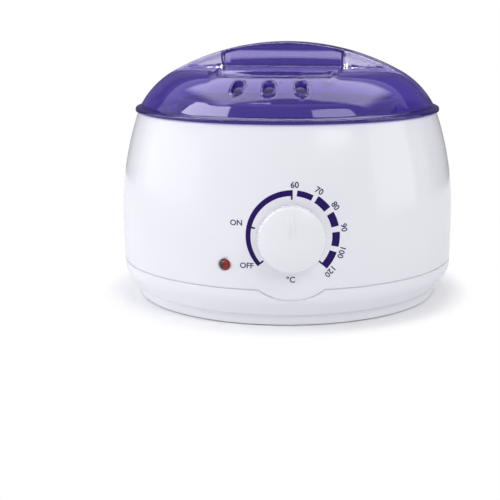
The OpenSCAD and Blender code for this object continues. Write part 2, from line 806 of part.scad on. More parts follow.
module terminal_screws() {
    color([0.8, 0.7, 0.4]) ways() translate([0, 0, way_z + 9]) rotate([180, 0, 0]) screw(1.2, 2.1, 1.8, 5);
}

module block_screws() {
    color("gainsboro") for (side = [-1, 1])
        translate([side * block[0] / 2 * 0.8, block_y, floor_top + block[2] - 2])
            rotate([180, 0, 0]) screw(small_r, small_head_r - 0.4, 1.8, block[2] - 1);
}

earth_y = 30;
module earth_screw() {
    color([0.8, 0.7, 0.4]) translate([0, earth_y, chamber_bottom_z - 2.5]) cylinder(h = 2.5, r = 3.5, $fn = 6);
}

block_front = block_y - block[1] / 2;
module live_lead() {
    color("saddlebrown") lead([[-way, block_front, way_z], [-way, block_front - 12, way_z],
        [-9, 0, 18], [-8, -40, 18], [-tab_x, tab_y + 12, 17], [-tab_x, tab_y, tab_z - 8],
        [-tab_x, tab_y, tab_z]]);
}

function fuse_point(s) = [fuse_at * cos(fuse_turn) - s * sin(fuse_turn),
    fuse_at * sin(fuse_turn) + s * cos(fuse_turn), fuse_z];
function stud_point(turn, down) = [stud_r * cos(turn), stud_r * sin(turn), stud_z - down];

module switched_lead() {
    color("black") lead([[tab_x, tab_y, tab_z], [tab_x, tab_y, tab_z - 5],
        [tab_x + 8, tab_y + 5, tab_z - 5], fuse_point(-fuse_half - 12) - [0, 0, 5],
        fuse_point(-fuse_half - 6), fuse_point(-fuse_half)]);
}

module heater_lead() {
    color("black") lead([fuse_point(fuse_half), fuse_point(fuse_half + 6),
        fuse_point(fuse_half + 14) - [0, 0, 5], stud_point(-stud_turn - 4, 9),
        stud_point(-stud_turn, 5), stud_point(-stud_turn, 0)]);
}

module neutral_lead() {
    color("royalblue") lead([[way, block_front, way_z], [way, block_front - 8, way_z],
        [way + 20, block_front - 18, way_z], [stud_r * cos(stud_turn) - 6, 20, way_z + 4],
        stud_point(stud_turn, 16), stud_point(stud_turn, 6), stud_point(stud_turn, 0)]);
}

module earth_lead() {
    color("yellowgreen") lead([[0, block_front, way_z], [0, block_front - 6, way_z],
        [0, earth_y + 4, way_z + 4], [0, earth_y, chamber_bottom_z - 10],
        [0, earth_y, chamber_bottom_z - 2.5]]);
}

// One lead runs straight to the thermostat, the other through the resistor to the terminal block
module lamp_leads() {
    color("dimgray") {
        lead([lamp_point(lamp_in - 2, -pin_side), lamp_point(lamp_in - 5, -pin_side - 0.5),
            lamp_point(lamp_in - 8, -pin_side) - [0, 0, 6], [-12, 25.8 - body_r, tab_z - 4],
            [tab_x - 4, tab_y, tab_z + 4], [tab_x - 0.5, tab_y, tab_z + 4]], lamp_lead_r);
        lead([lamp_point(lamp_in - 2, pin_side), lamp_point(lamp_in - 4, pin_side),
            lamp_point(resistor_r + 3, resistor_side), lamp_point(resistor_r, resistor_side)], lamp_lead_r);
        lead([lamp_point(resistor_r - 10, resistor_side), lamp_point(resistor_r - 16, resistor_side),
            lamp_point(resistor_r - 26, resistor_side) - [0, 0, 4], [3, 0, 25], [way, 30, 23],
            [way, block_front - 8, way_z + 5], [way, block_front, way_z + 5]], lamp_lead_r);
    }
}

module cord_gland() {
    color([0.93, 0.93, 0.93]) translate([0, 0, gland_z]) rotate([-90, 0, 0]) difference() {
        union() {
            translate([0, 0, gland_out - wall - 2.2]) cylinder(h = wall + 4.2, r = gland_neck);
            translate([0, 0, gland_out]) cylinder(h = 2, r = gland_flange);
            translate([0, 0, gland_out - wall - 2.2]) cylinder(h = 1.8, r = gland_neck + 1);
        }
        cylinder(h = side_out, r = gland_bore);
    }
}

lid();
pot();
pot_ears();
pot_rivets();
bail();
upper_housing();
base_cover();
heating_chamber();
chamber_screws();
heater_band();
heater_strap();
strap_screw();
insulation_blanket();
thermostat_body();
sensing_post();
thermostat_bush();
thermostat_nut();
thermostat_plate();
plate_screws();
thermostat_shaft();
control_knob();
knob_clip();
thermal_fuse();
fuse_clip();
lamp_lens();
neon_lamp();
lamp_ring();
lamp_resistor();
terminal_block();
terminal_screws();
block_screws();
earth_screw();
live_lead();
switched_lead();
heater_lead();
neutral_lead();
earth_lead();
lamp_leads();
cord_gland();
base_screws();
rubber_feet();
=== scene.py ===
# Wax warmer pot: a round heated housing with a lift-out pot under a see-through purple lid.
from math import acos, asin, atan2, cos, degrees, hypot, pi, radians, sin, sqrt

import bmesh
import bpy
import numpy as np
from mathutils import Matrix, Vector
from mathutils.geometry import delaunay_2d_cdt


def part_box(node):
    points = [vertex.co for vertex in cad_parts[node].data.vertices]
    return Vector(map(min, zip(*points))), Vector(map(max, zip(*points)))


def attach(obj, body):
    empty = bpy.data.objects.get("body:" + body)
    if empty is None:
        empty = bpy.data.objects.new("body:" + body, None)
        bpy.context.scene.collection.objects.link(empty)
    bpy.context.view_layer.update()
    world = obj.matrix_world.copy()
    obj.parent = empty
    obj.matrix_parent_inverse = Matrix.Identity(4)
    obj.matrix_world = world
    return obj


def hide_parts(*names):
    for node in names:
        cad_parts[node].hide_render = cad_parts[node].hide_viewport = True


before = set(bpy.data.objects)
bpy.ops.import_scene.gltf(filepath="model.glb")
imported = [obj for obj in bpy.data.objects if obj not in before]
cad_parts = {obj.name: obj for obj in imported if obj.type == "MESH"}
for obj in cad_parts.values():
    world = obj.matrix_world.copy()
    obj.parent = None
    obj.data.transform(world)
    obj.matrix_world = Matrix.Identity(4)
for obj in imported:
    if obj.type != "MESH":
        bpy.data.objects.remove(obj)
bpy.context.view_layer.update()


# ---- Camera ----
# A long lens a little above the rim, looking slightly down at the front of the warmer.
lens_distance = 0.631
lens_height = 0.1611
lens_pitch = radians(12.52)
lens_turn = radians(-1.25)     # round the warmer, so that the dial sits a little right of its axis


def placed(name, data):
    """A new object in the scene."""
    thing = bpy.data.objects.new(name, data)
    bpy.context.collection.objects.link(thing)
    return thing


camera_data = bpy.data.cameras.new("camera")
camera_data.lens = 80.6
camera_data.sensor_width = 36.0
camera_data.shift_x = -0.0748
camera = placed("camera", camera_data)
camera.location = (lens_distance * sin(lens_turn), -lens_distance * cos(lens_turn), lens_height)
camera.rotation_euler = (pi / 2 - lens_pitch, 0, lens_turn)
bpy.context.scene.camera = camera
bpy.context.scene.view_settings.view_transform = "Standard"


# ---- Studio ----
# A white paper sweep, a tall soft box on the left and a smaller one high on the right, and cards
# that only show mirrored in the gloss. Round the warmer the paper shows as it is lit; further out
# the camera sees it as plain white.
def add(tree, kind, inputs=None, **settings):
    """Adds a node and gives its outputs. Each input takes a value, or the socket that feeds it."""
    node = tree.nodes.new(kind)
    for name, value in settings.items():
        setattr(node, name, value)
    for key, value in (inputs or {}).items():
        if isinstance(value, bpy.types.NodeSocket):
            tree.links.new(value, node.inputs[key])
        else:
            node.inputs[key].default_value = value
    return node.outputs


def new_material(name):
    material = bpy.data.materials.new(name)
    material.use_nodes = True
    material.node_tree.nodes.clear()
    return material, material.node_tree


def maths(tree, operation, a, b):
    return add(tree, "ShaderNodeMath", {0: a, 1: b}, operation=operation)["Value"]


def ramp(tree, value, low, high):
    """A mask that rises smoothly from 0 to 1 as a value goes from low to high."""
    return add(tree, "ShaderNodeMapRange", {"Value": value, "From Min": low, "From Max": high},
               interpolation_type="SMOOTHSTEP")["Result"]


def blend(tree, mask, start, end):
    """A colour that goes from start to end as a mask goes from 0 to 1."""
    return add(tree, "ShaderNodeMix", {"Factor": mask, "A": start, "B": end},
               data_type="RGBA")["Result"]


def either(tree, mask, first, second):
    """The first shader where a mask is 0, the second where it is 1."""
    return add(tree, "ShaderNodeMixShader", {0: mask, 1: first, 2: second})["Shader"]


sweep_size = 6.0
shade_from = 0.089             # from here on the paper's shade gives way to plain white
shade_to = 0.108
sweep_paper, tree = new_material("sweep_paper")
place = add(tree, "ShaderNodeTexCoord")
distance = add(tree, "ShaderNodeVectorMath", {0: place["Object"]}, operation="LENGTH")
path = add(tree, "ShaderNodeLightPath")
seen = maths(tree, "MULTIPLY", path["Is Camera Ray"],
             ramp(tree, distance["Value"], shade_from, shade_to))
paper = add(tree, "ShaderNodeBsdfDiffuse", {"Color": (0.96, 0.96, 0.97, 1)})
plain_white = add(tree, "ShaderNodeEmission")
add(tree, "ShaderNodeOutputMaterial", {
    "Surface": either(tree, seen, paper["BSDF"], plain_white["Emission"])})
bpy.ops.mesh.primitive_plane_add(size=sweep_size)
floor = bpy.context.object
floor.name = "floor"
floor.data.materials.append(sweep_paper)

world = bpy.data.worlds.new("studio")
bpy.context.scene.world = world
world.use_nodes = True
tree = world.node_tree
tree.nodes.clear()
looking = add(tree, "ShaderNodeTexCoord")
lit_side = (-0.35, 0.94, 0)    # the room is lighter this way
room_dim = 0.53
room_bright = 0.93
towards = add(tree, "ShaderNodeVectorMath", {0: looking["Generated"], 1: lit_side},
              operation="DOT_PRODUCT")
level = add(tree, "ShaderNodeMapRange", {
    "Value": towards["Value"], "From Min": -0.3, "From Max": 0.6, "To Min": room_dim,
    "To Max": room_bright})
room = add(tree, "ShaderNodeBackground", {"Color": (0.96, 0.97, 1.0, 1),
                                          "Strength": level["Result"]})
backdrop = add(tree, "ShaderNodeBackground", {"Color": (1, 1, 1, 1)})
path = add(tree, "ShaderNodeLightPath")
clear = maths(tree, "MAXIMUM", path["Is Camera Ray"], path["Is Transmission Ray"])
add(tree, "ShaderNodeOutputWorld", {
    "Surface": either(tree, clear, room["Background"], backdrop["Background"])})

light_distance = 1.1           # of the lights and the cards from the warmer's axis
card_centre = 0.1              # height of the place that a card's angles are seen from


def soft_box(name, turn, low, high, width, radiance, tint=(1, 1, 1)):
    """An upright rectangular light at a turn from the front, facing the axis."""
    data = bpy.data.lights.new(name, "AREA")
    data.shape = "RECTANGLE"
    data.size = width
    data.size_y = high - low
    data.energy = radiance * pi * width * (high - low)
    data.color = tint
    box = placed(name, data)
    out = Vector((sin(radians(turn)), -cos(radians(turn)), 0))
    box.location = out * light_distance + Vector((0, 0, (low + high) / 2))
    box.rotation_euler = (-out).to_track_quat("-Z", "Y").to_euler()
    box.visible_glossy = False
    box.visible_transmission = False


def card(name, corners, radiance, tint=(1, 1, 1), soft=0.06):
    """A lit or dark card that is only seen mirrored in the gloss. Its corners are given by their
    turn from the front and their height in degrees, as seen from the warmer, and soft is the share
    of it over which its edges fade."""
    material, tree = new_material(name)
    fade = add(tree, "ShaderNodeAttribute", attribute_name="fade")
    level = add(tree, "ShaderNodeMapRange", {"Value": fade["Fac"], "To Max": radiance,
                                             "To Min": min(0.6, 2 * radiance)},
                interpolation_type="SMOOTHSTEP")
    lit = add(tree, "ShaderNodeEmission", {"Color": (*tint, 1), "Strength": level["Result"]})
    add(tree, "ShaderNodeOutputMaterial", {"Surface": lit["Emission"]})
    mesh = bpy.data.meshes.new(name)
    edge = []
    for turn, up in corners:
        turn, up = radians(turn), radians(up)
        edge.append(Vector((light_distance * sin(turn) * cos(up),
                            -light_distance * cos(turn) * cos(up),
                            light_distance * sin(up) + card_centre)))
    count = len(edge)
    middle = sum(edge, Vector()) / count
    faces = [tuple(range(count, 2 * count))]
    faces += [(i, (i + 1) % count, count + (i + 1) % count, count + i) for i in range(count)]
    mesh.from_pydata(edge + [middle + (place - middle) * (1 - soft) for place in edge], [], faces)
    inside = [0.0] * count + [1.0] * count
    mesh.attributes.new("fade", "FLOAT", "POINT").data.foreach_set("value", inside)
    mesh.materials.append(material)
    sheet = placed(name, mesh)
    sheet.visible_camera = False
    sheet.visible_diffuse = False
    sheet.visible_transmission = False
    sheet.visible_shadow = False


soft_box("light_left", -78, 0.05, 1.40, 0.90, 1.6)
soft_box("light_right", 33, 0.50, 1.60, 0.80, 2.75, (1, 0.985, 0.96))
card("card_left", [(-97, 18), (-54.7, 42.5), (-62.7, 54.6), (-101, 44)], 11.5,
     (0.86, 0.83, 1.0))
card("card_right", [(21.3, 44.0), (61.6, 38.0), (63.6, 50.5), (23.8, 57.5)], 7.0,
     (0.84, 0.81, 1.0))
card("card_over", [(-74, 48), (-50, 65), (0, 75), (50, 64.5), (79, 43), (123, 36), (-130, 36)], 5.0,
     (0.92, 0.88, 1.0), 0.25)
card("streak_left", [(-54, 61.5), (-24, 66.5), (-24, 68.5), (-50, 64.5)], 8.0, soft=0.3)
card("streak_right", [(50, 65), (75, 54), (75, 57.5), (50, 69)], 10.0, soft=0.3)
card("card_left_low", [(-114, -4), (-60, -4), (-60, 16), (-114, 16)], 2.2)
card("card_window", [(20, 20), (46, 20), (46, 30), (20, 30)], 3.5)
card("card_edge", [(57, -12), (93, -12), (93, 22), (57, 22)], 2.4)
card("card_dark", [(86, 22), (113, 22), (111, 33), (90, 33)], 0.02)
card("card_back", [(110, -8), (235, -8), (235, 24), (110, 24)], 0.12, soft=0.1)


# ---- Upper housing ----
# One injection moulded shell of gloss white plastic. It leans in towards the rim that the lid
# sits on, and a rounded tongue at its lower edge dips into the base under the dial.
body_r = -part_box("upper_housing")[0].x
rim_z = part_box("upper_housing")[1].z
belly_z = 0.045
rim_inset = 0.0098
rim_width = 0.004
recess_depth = 0.007
wall = 0.0025
seam_z = 0.0207
seam_gap = 0.0005
seam_inset = 0.0003
dip_half_width = 0.0166
dip_depth = 0.0054
base_round = 0.009
base_tuck = 0.0065
floor_z = 0.006
opening_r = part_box("heating_chamber")[1].x - 0.008

rim_r = body_r - rim_inset
seam_r = body_r - seam_inset
upper_arc = ((rim_z - belly_z) ** 2 + rim_inset ** 2) / (2 * rim_inset)
lower_arc = ((belly_z - seam_z) ** 2 + seam_inset ** 2) / (2 * seam_inset)
round_r = seam_r - base_round
round_z = seam_z - 0.0027
floor_r = seam_r - base_tuck
tuck = (floor_r - round_r, floor_z - round_z)
tuck_angle = atan2(tuck[1], tuck[0]) + acos(base_round / hypot(*tuck))
dip_r = (dip_half_width ** 2 + dip_depth ** 2) / (2 * dip_depth)
dip_z = seam_z - dip_depth + dip_r


def skin_r(z):
    """Radius of the body's skin at height z, from the base floor to the rim."""
    if z >= belly_z:
        return body_r - upper_arc + sqrt(upper_arc ** 2 - (z - belly_z) ** 2)
    if z >= seam_z:
        return body_r - lower_arc + sqrt(lower_arc ** 2 - (z - belly_z) ** 2)
    if z >= round_z:
        return seam_r
    corner_z = round_z + base_round * sin(tuck_angle)
    if z >= corner_z:
        return round_r + sqrt(base_round ** 2 - (z - round_z) ** 2)
    corner_r = round_r + base_round * cos(tuck_angle)
    return corner_r + (corner_z - z) * sin(tuck_angle) / cos(tuck_angle)


def seam_at(turn, side):
    """Height of the housing's lower edge (side 1) or the base's upper edge (side -1)."""
    across = seam_r * sin(turn)
    edge = seam_z + side * seam_gap / 2
    reach = dip_r - side * seam_gap / 2
    if cos(turn) > 0 and abs(across) < reach:
        edge = min(edge, dip_z - sqrt(reach ** 2 - across ** 2))
    return edge


def fine_turns():
    """Angles round the body, measured from the front and set closer where the seam dips."""
    turns = []
    turn = -180.0
    while turn < 180:
        turns.append(radians(turn))
        turn += 0.25 if abs(turn) < 14 else 1.5
    return turns


def mesh_object(name, points, faces):
    mesh = bpy.data.meshes.new(name)
    mesh.from_pydata([tuple(p) for p in points], [], faces)
    mesh.validate()
    mesh.polygons.foreach_set("use_smooth", [True] * len(mesh.polygons))
    return placed(name, mesh)


def strip(here, there, closed=True):
    """Faces between two rows of points, given by their numbers."""
    count = len(here)
    return [(here[i], there[i], there[(i + 1) % count], here[(i + 1) % count])
            for i in range(count if closed else count - 1)]


def close_up(piece, merge=1e-7, flat=1e-7):
    """Merges doubled points, drops faces without area and turns all faces outwards."""
    skin = bmesh.new()
    skin.from_mesh(piece.data)
    bmesh.ops.remove_doubles(skin, verts=skin.verts, dist=merge)
    bmesh.ops.dissolve_degenerate(skin, edges=skin.edges, dist=flat)
    bmesh.ops.recalc_face_normals(skin, faces=skin.faces)
    skin.to_mesh(piece.data)
    skin.free()
    piece.data.polygons.foreach_set("use_smooth", [True] * len(piece.data.polygons))


def upright(r, turn, z):
    """A place at a radius and a turn from the front, about the warmer's axis."""
    return (r * sin(turn), -r * cos(turn), z)


def revolved(name, turns, outline_at, closed=True, place=upright):
    """A skin swept round an axis. outline_at(turn) gives its outline as (radius, height) pairs,
    always as many. A radius of 0 closes on the axis."""
    points = []
    faces = []
    rows = [outline_at(turn) for turn in turns]
    count = len(rows[0])
    for turn, row in zip(turns, rows):
        points += [place(r, turn, z) for r, z in row]
    lines = [range(i * count, (i + 1) * count) for i in range(len(turns))]
    for here, there in zip(lines, lines[1:] + lines[:1]):
        faces += strip(here, there, closed)
    piece = mesh_object(name, points, faces)
    close_up(piece)
    return piece


def arc(centre, radius, first, last, steps):
    """Points of an arc in the outline's plane, angles in degrees from straight out."""
    return [(centre[0] + radius * cos(radians(first + (last - first) * i / steps)),
             centre[1] + radius * sin(radians(first + (last - first) * i / steps)))
            for i in range(steps + 1)]


def spread(first, last, steps):
    return [first + (last - first) * i / steps for i in range(steps + 1)]


edge_r = 0.0005               # of the moulding's small rounded edges
recess_r = rim_r - rim_width
shelf_z = rim_z - recess_depth
shelf_round = 0.0015
rim_round = 0.0012
side_top = rim_z - rim_round
side_fade = 0.030             # the outline's points turn level by this height


def housing_outline(turn):
    low = seam_at(turn, 1)
    outer = [(skin_r(low) - edge_r * (1 - sin(a)), low + edge_r * (1 - cos(a)))
             for a in spread(0, pi / 2, 4)]
    outer += [(skin_r(z), z) for z in spread(low + edge_r, side_fade, 8)[1:]]
    outer += [(skin_r(z), z) for z in spread(side_fade, side_top, 36)[1:]]
    rim = arc((skin_r(side_top) - rim_round, side_top), rim_round, 10, 90, 5)
    rim += arc((recess_r + edge_r, rim_z - edge_r), edge_r, 90, 180, 4)
    shelf = arc((recess_r - shelf_round, shelf_z + shelf_round), shelf_round, 0, -90, 5)
    shelf += arc((opening_r + edge_r, shelf_z - edge_r), edge_r, 90, 180, 4)
    shelf += [(opening_r, shelf_z - wall), (rim_r - 2 * wall, shelf_z - wall)]
    inner = [(skin_r(z) - wall, z) for z in spread(shelf_z - 2 * wall, side_fade, 12)]
    inner += [(skin_r(max(z, round_z)) - wall, z) for z in spread(side_fade, low, 6)[1:]]
    return outer + rim + shelf + inner


def cylinder_cutter(name, start, end, radius):
    axis = Vector(end) - Vector(start)
    cutter_mesh = bmesh.new()
    turn = axis.to_track_quat("Z", "Y").to_matrix().to_4x4()
    bmesh.ops.create_cone(cutter_mesh, cap_ends=True, segments=64, radius1=radius, radius2=radius,
                          depth=axis.length,
                          matrix=Matrix.Translation((Vector(start) + Vector(end)) / 2) @ turn)
    mesh = bpy.data.meshes.new(name)
    cutter_mesh.to_mesh(mesh)
    cutter_mesh.free()
    return placed(name, mesh)


def as_mesh(piece):
    """What a piece's modifiers or curves come to, as a plain mesh."""
    bpy.context.view_layer.update()
    return bpy.data.meshes.new_from_object(
        piece.evaluated_get(bpy.context.evaluated_depsgraph_get()))


def cut_away(piece, cutters):
    """Takes the cutters' volume out of a piece, for good."""
    for cutter in cutters:
        modifier = piece.modifiers.new("cut", "BOOLEAN")
        modifier.object = cutter
        modifier.operation = "DIFFERENCE"
        modifier.solver = "EXACT"
    finished = as_mesh(piece)
    piece.modifiers.clear()
    piece.data = finished
    for cutter in cutters:
        bpy.data.objects.remove(cutter)


housing = revolved("housing_shell", fine_turns(), housing_outline)
lens_low, lens_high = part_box("lamp_lens")
lamp_z = (lens_low.z + lens_high.z) / 2
lamp_turn = radians(-21)
lamp_r = (lens_high.z - lens_low.z) / 2
lamp_way = Vector((sin(lamp_turn), -cos(lamp_turn), 0))
gland_low, gland_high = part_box("cord_gland")
gland_z = (gland_low.z + gland_high.z) / 2
gland_hole_r = 0.0057
hole_from = 0.07               # a hole's cutter runs from here out through the wall
hole_to = 0.11
cut_away(housing, [
    cylinder_cutter("lamp_hole", lamp_way * hole_from + Vector((0, 0, lamp_z)),
                    lamp_way * hole_to + Vector((0, 0, lamp_z)), lamp_r + 0.00015),
    cylinder_cutter("gland_hole", (0, hole_from, gland_z), (0, hole_to, gland_z), gland_hole_r),
])


def surface_grain():
    """A group for the fine unevenness of a made surface: a mask from 0 to 1 and a height."""
    group = bpy.data.node_groups.new("surface_grain", "ShaderNodeTree")
    for name, kind, value in (("Scale", "NodeSocketFloat", 60.0),
                              ("Stretch", "NodeSocketVector", (1, 1, 1)),
                              ("Fine", "NodeSocketFloat", 6.0)):
        group.interface.new_socket(name, in_out="INPUT", socket_type=kind).default_value = value
    for name in ("Mask", "Height"):
        group.interface.new_socket(name, in_out="OUTPUT", socket_type="NodeSocketFloat")
    start = add(group, "NodeGroupInput")
    place = add(group, "ShaderNodeTexCoord")
    stretch = add(group, "ShaderNodeVectorMath", {0: place["Object"], 1: start["Stretch"]},
                  operation="MULTIPLY")
    finer = maths(group, "MULTIPLY", start["Scale"], start["Fine"])
    broad, fine = [add(group, "ShaderNodeTexNoise", {"Vector": stretch["Vector"], "Scale": scale})
                   for scale in (start["Scale"], finer)]
    add(group, "NodeGroupOutput", {"Mask": broad["Fac"], "Height": fine["Fac"]})
    return group


grain = surface_grain()


def finish(name, colour, roughness, metallic=0.0, scale=60.0, stretch=(1, 1, 1), fine=6.0,
           tone=0.03, uneven=0.05, depth=0.00002, specular=0.5):
    """A finish in one colour whose tone, roughness and height vary finely over the surface."""
    material, tree = new_material(name)
    texture = add(tree, "ShaderNodeGroup", {"Scale": scale, "Stretch": stretch, "Fine": fine},
                  node_tree=grain)
    shades = blend(tree, texture["Mask"], (*[c * (1 - tone) for c in colour], 1),
                   (*[min(1, c * (1 + tone)) for c in colour], 1))
    rough = add(tree, "ShaderNodeMapRange", {"Value": texture["Mask"],
                                             "To Min": max(0.01, roughness - uneven),
                                             "To Max": roughness + uneven})
    bump = add(tree, "ShaderNodeBump", {"Height": texture["Height"], "Distance": depth,
                                        "Strength": 1.0})
    shader = add(tree, "ShaderNodeBsdfPrincipled", {
        "Base Color": shades, "Roughness": rough["Result"],
        "Normal": bump["Normal"], "Metallic": metallic, "Specular IOR Level": specular})
    add(tree, "ShaderNodeOutputMaterial", {"Surface": shader["BSDF"]})
    return material


def paint(piece, material):
    """Gives all of a piece's faces one finish."""
    piece.data.materials.clear()
    piece.data.materials.append(material)
    piece.data.polygons.foreach_set("material_index", [0] * len(piece.data.polygons))


white_gloss = finish("white_gloss", (0.84, 0.84, 0.89), 0.14, scale=25, fine=3, tone=0.006,
                     uneven=0.025, depth=0.000004, specular=0.3)
paint(housing, white_gloss)
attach(housing, "housing")
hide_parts("upper_housing")


# ---- Base cover ----
# The lower moulding, in the same white plastic. Its upper edge is set back under the housing
# by a lip, and a narrow ring under it stands just clear of the table on the rubber feet.
ring_r = floor_r - 0.002
ring_lift = 0.0004
lip_r = seam_r - wall - 0.0003
lip_width = 0.0015
lip_height = 0.004
ridge = 0.00042                # height of the fine ridge that closes the seam from behind
ring_round = 0.0008


def base_outline(turn):
    high = seam_at(turn, -1)
    inner_z = floor_z + wall
    outline = [(0, inner_z), (0.03, inner_z), (0.06, inner_z),
               (skin_r(floor_z) - wall - 0.004, inner_z)]
    outline += [(lip_r - lip_width, round_z - 0.004), (lip_r - lip_width, seam_z),
                (lip_r - lip_width, seam_z + lip_height), (lip_r, seam_z + lip_height),
                (lip_r, seam_z), (lip_r, high), (seam_r - 0.0016, high),
                (seam_r - 0.0015, high + ridge), (seam_r - 0.00075, high + ridge),
                (seam_r - 0.00065, high)]
    outline += [(skin_r(high) - edge_r * (1 - cos(a)), high - edge_r * (1 - sin(a)))
                for a in spread(pi / 2, 0, 4)]
    outline += [(skin_r(z), z) for z in spread(high - edge_r, floor_z + 0.0006, 18)[1:]]
    outline += [(floor_r - 0.00015, floor_z + 0.0002), (floor_r - 0.0005, floor_z)]
    outline += [(ring_r + 0.0004, floor_z), (ring_r + 0.0001, floor_z - 0.0001),
                (ring_r, floor_z - 0.0004)]
    outline += [(ring_r, z) for z in spread(floor_z - 0.001, ring_lift + ring_round, 3)]
    outline += arc((ring_r - ring_round, ring_lift + ring_round), ring_round, 0, -90, 4)
    outline += [(ring_r - wall + 0.0003, ring_lift), (ring_r - wall, ring_lift + 0.0003),
                (ring_r - wall, floor_z - 0.0003), (ring_r - wall - 0.0003, floor_z)]
    outline += [(r, floor_z) for r in (0.06, 0.03, 0)]
    return outline


def ring_tree(name):
    """Geometry nodes that set copies of one part round an axis and give them a finish."""
    tree = bpy.data.node_groups.new(name, "GeometryNodeTree")
    tree.interface.new_socket("Geometry", in_out="INPUT", socket_type="NodeSocketGeometry")
    ids = {}
    for key, kind in (("Part", "NodeSocketObject"), ("Finish", "NodeSocketMaterial"),
                      ("Count", "NodeSocketInt"), ("Radius", "NodeSocketFloat"),
                      ("Turn", "NodeSocketVector"), ("Centre", "NodeSocketVector")):
        ids[key] = tree.interface.new_socket(key, in_out="INPUT", socket_type=kind).identifier
    tree.interface.new_socket("Geometry", in_out="OUTPUT", socket_type="NodeSocketGeometry")
    start = add(tree, "NodeGroupInput")
    ring = add(tree, "GeometryNodeMeshCircle", {"Vertices": start["Count"],
                                                "Radius": start["Radius"]})
    part = add(tree, "GeometryNodeObjectInfo", {"Object": start["Part"]})
    index = add(tree, "GeometryNodeInputIndex")
    share = maths(tree, "DIVIDE", index["Index"], start["Count"])
    spin = add(tree, "ShaderNodeCombineXYZ", {"Z": maths(tree, "MULTIPLY", share, 2 * pi)})
    copies = add(tree, "GeometryNodeInstanceOnPoints", {
        "Points": ring["Mesh"], "Instance": part["Geometry"],
        "Rotation": spin["Vector"]})
    settled = add(tree, "GeometryNodeTransform", {
        "Geometry": copies["Instances"], "Rotation": start["Turn"],
        "Translation": start["Centre"]})
    real = add(tree, "GeometryNodeRealizeInstances", {"Geometry": settled["Geometry"]})
    painted = add(tree, "GeometryNodeSetMaterial", {"Geometry": real["Geometry"],
                                                    "Material": start["Finish"]})
    add(tree, "NodeGroupOutput", {"Geometry": painted["Geometry"]})
    return tree, ids


ring_of_parts, ring_ids = ring_tree("ring_of_parts")


def set_round(name, part, material, number, radius, turn, centre):
    """A plain mesh of copies of a part, set round a circle by geometry nodes."""
    holder = mesh_object(name, [(0, 0, 0)], [])
    modifier = holder.modifiers.new("ring", "NODES")
    modifier.node_group = ring_of_parts
    for key, value in (("Part", part), ("Finish", material), ("Count", number), ("Radius", radius),
                       ("Turn", turn), ("Centre", centre)):
        modifier[ring_ids[key]] = value
    made = as_mesh(holder)
    holder.modifiers.clear()
    holder.data = made
    bpy.data.objects.remove(part)
    return holder


def join(piece, *others):
    """Adds other pieces' meshes to a piece."""
    whole = bmesh.new()
    for one in (piece, *others):
        whole.from_mesh(one.data)
    whole.to_mesh(piece.data)
    whole.free()
    for one in others:
        bpy.data.objects.remove(one)


base = revolved("base_shell", fine_turns(), base_outline)
slot_count = 18
slot_ring_r = 0.032            # to the middle of a cooling slot in the floor
slot_half = (0.010, 0.0015, wall / 2 + 0.002)
slot_cut = mesh_object("slot_cut", [(x * slot_half[0], y * slot_half[1], z * slot_half[2])
                                    for x in (-1, 1) for y in (-1, 1) for z in (-1, 1)],
                       [(0, 1, 3, 2), (4, 6, 7, 5), (0, 4, 5, 1), (2, 3, 7, 6), (0, 2, 6, 4),
                        (1, 5, 7, 3)])
cut_away(base, [set_round("slots", slot_cut, white_gloss, slot_count, slot_ring_r,
                          (0, 0, pi / slot_count), (0, 0, floor_z + wall / 2))])
paint(base, white_gloss)
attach(base, "housing")
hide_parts("base_cover")


# ---- Control knob ----
# A moulded white knob pushed on the thermostat's shaft: a ribbed edge for the fingers, a slightly
# domed face, and two fine raised lines that point at the scale.
knob_low, knob_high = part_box("control_knob")
knob_z = (knob_low.z + knob_high.z) / 2
knob_back = knob_high.y
knob_front = knob_low.y
knob_r = knob_high.x - 0.0001      # at the foot of the ribs, where the cap is widest
knob_flare = 0.0007                # it is narrower at its back
knob_depth = knob_back - knob_front - 0.0004     # less the height of the raised lines
knob_steps = 192


def knob_place(r, turn, forward):
    return (r * sin(turn), knob_back - forward, knob_z + r * cos(turn))


knob_side = 0.0056                 # from the back of the cap to its widest place
face_rise = 0.0032
face_out = knob_depth - face_rise
face_r = knob_r - 0.0008


def face_at(r):
    """How far out the knob's domed face lies at a distance from its middle."""
    return face_out + face_rise * (1 - (r / face_r) ** 2.6)


knob_line = [(knob_r - knob_flare - 0.0028, 0.0004), (knob_r - knob_flare - 0.0010, 0),
             (knob_r - knob_flare - 0.0001, 0.0002), (knob_r - knob_flare, 0.0006)]
knob_line += [(knob_r - knob_flare * (1 - t), 0.0006 + (knob_side - 0.0006) * t)
              for t in (0.33, 0.66, 1.0)]
knob_line += [(knob_r - 0.0001, knob_side + 0.0006), (knob_r - 0.0004, knob_side + 0.0012),
              (face_r, face_out)]
knob_line += [(face_r * t, face_at(face_r * t))
              for t in (0.98, 0.95, 0.91, 0.86, 0.8, 0.73, 0.65, 0.56, 0.46, 0.34, 0.2, 0)]
# the hub and the hollow behind the face, from the axis out
hub_line = [(0, 0.0022), (0.004, 0.0022), (0.0046, 0.0016), (0.0046, 0.0004), (0.006, 0.0004),
            (0.0065, 0.003), (knob_r - 0.0034, 0.003)]
knob_line = hub_line + knob_line
knob = revolved("knob_cap", spread(0, 2 * pi, knob_steps)[:-1], lambda turn: knob_line, False,
                knob_place)


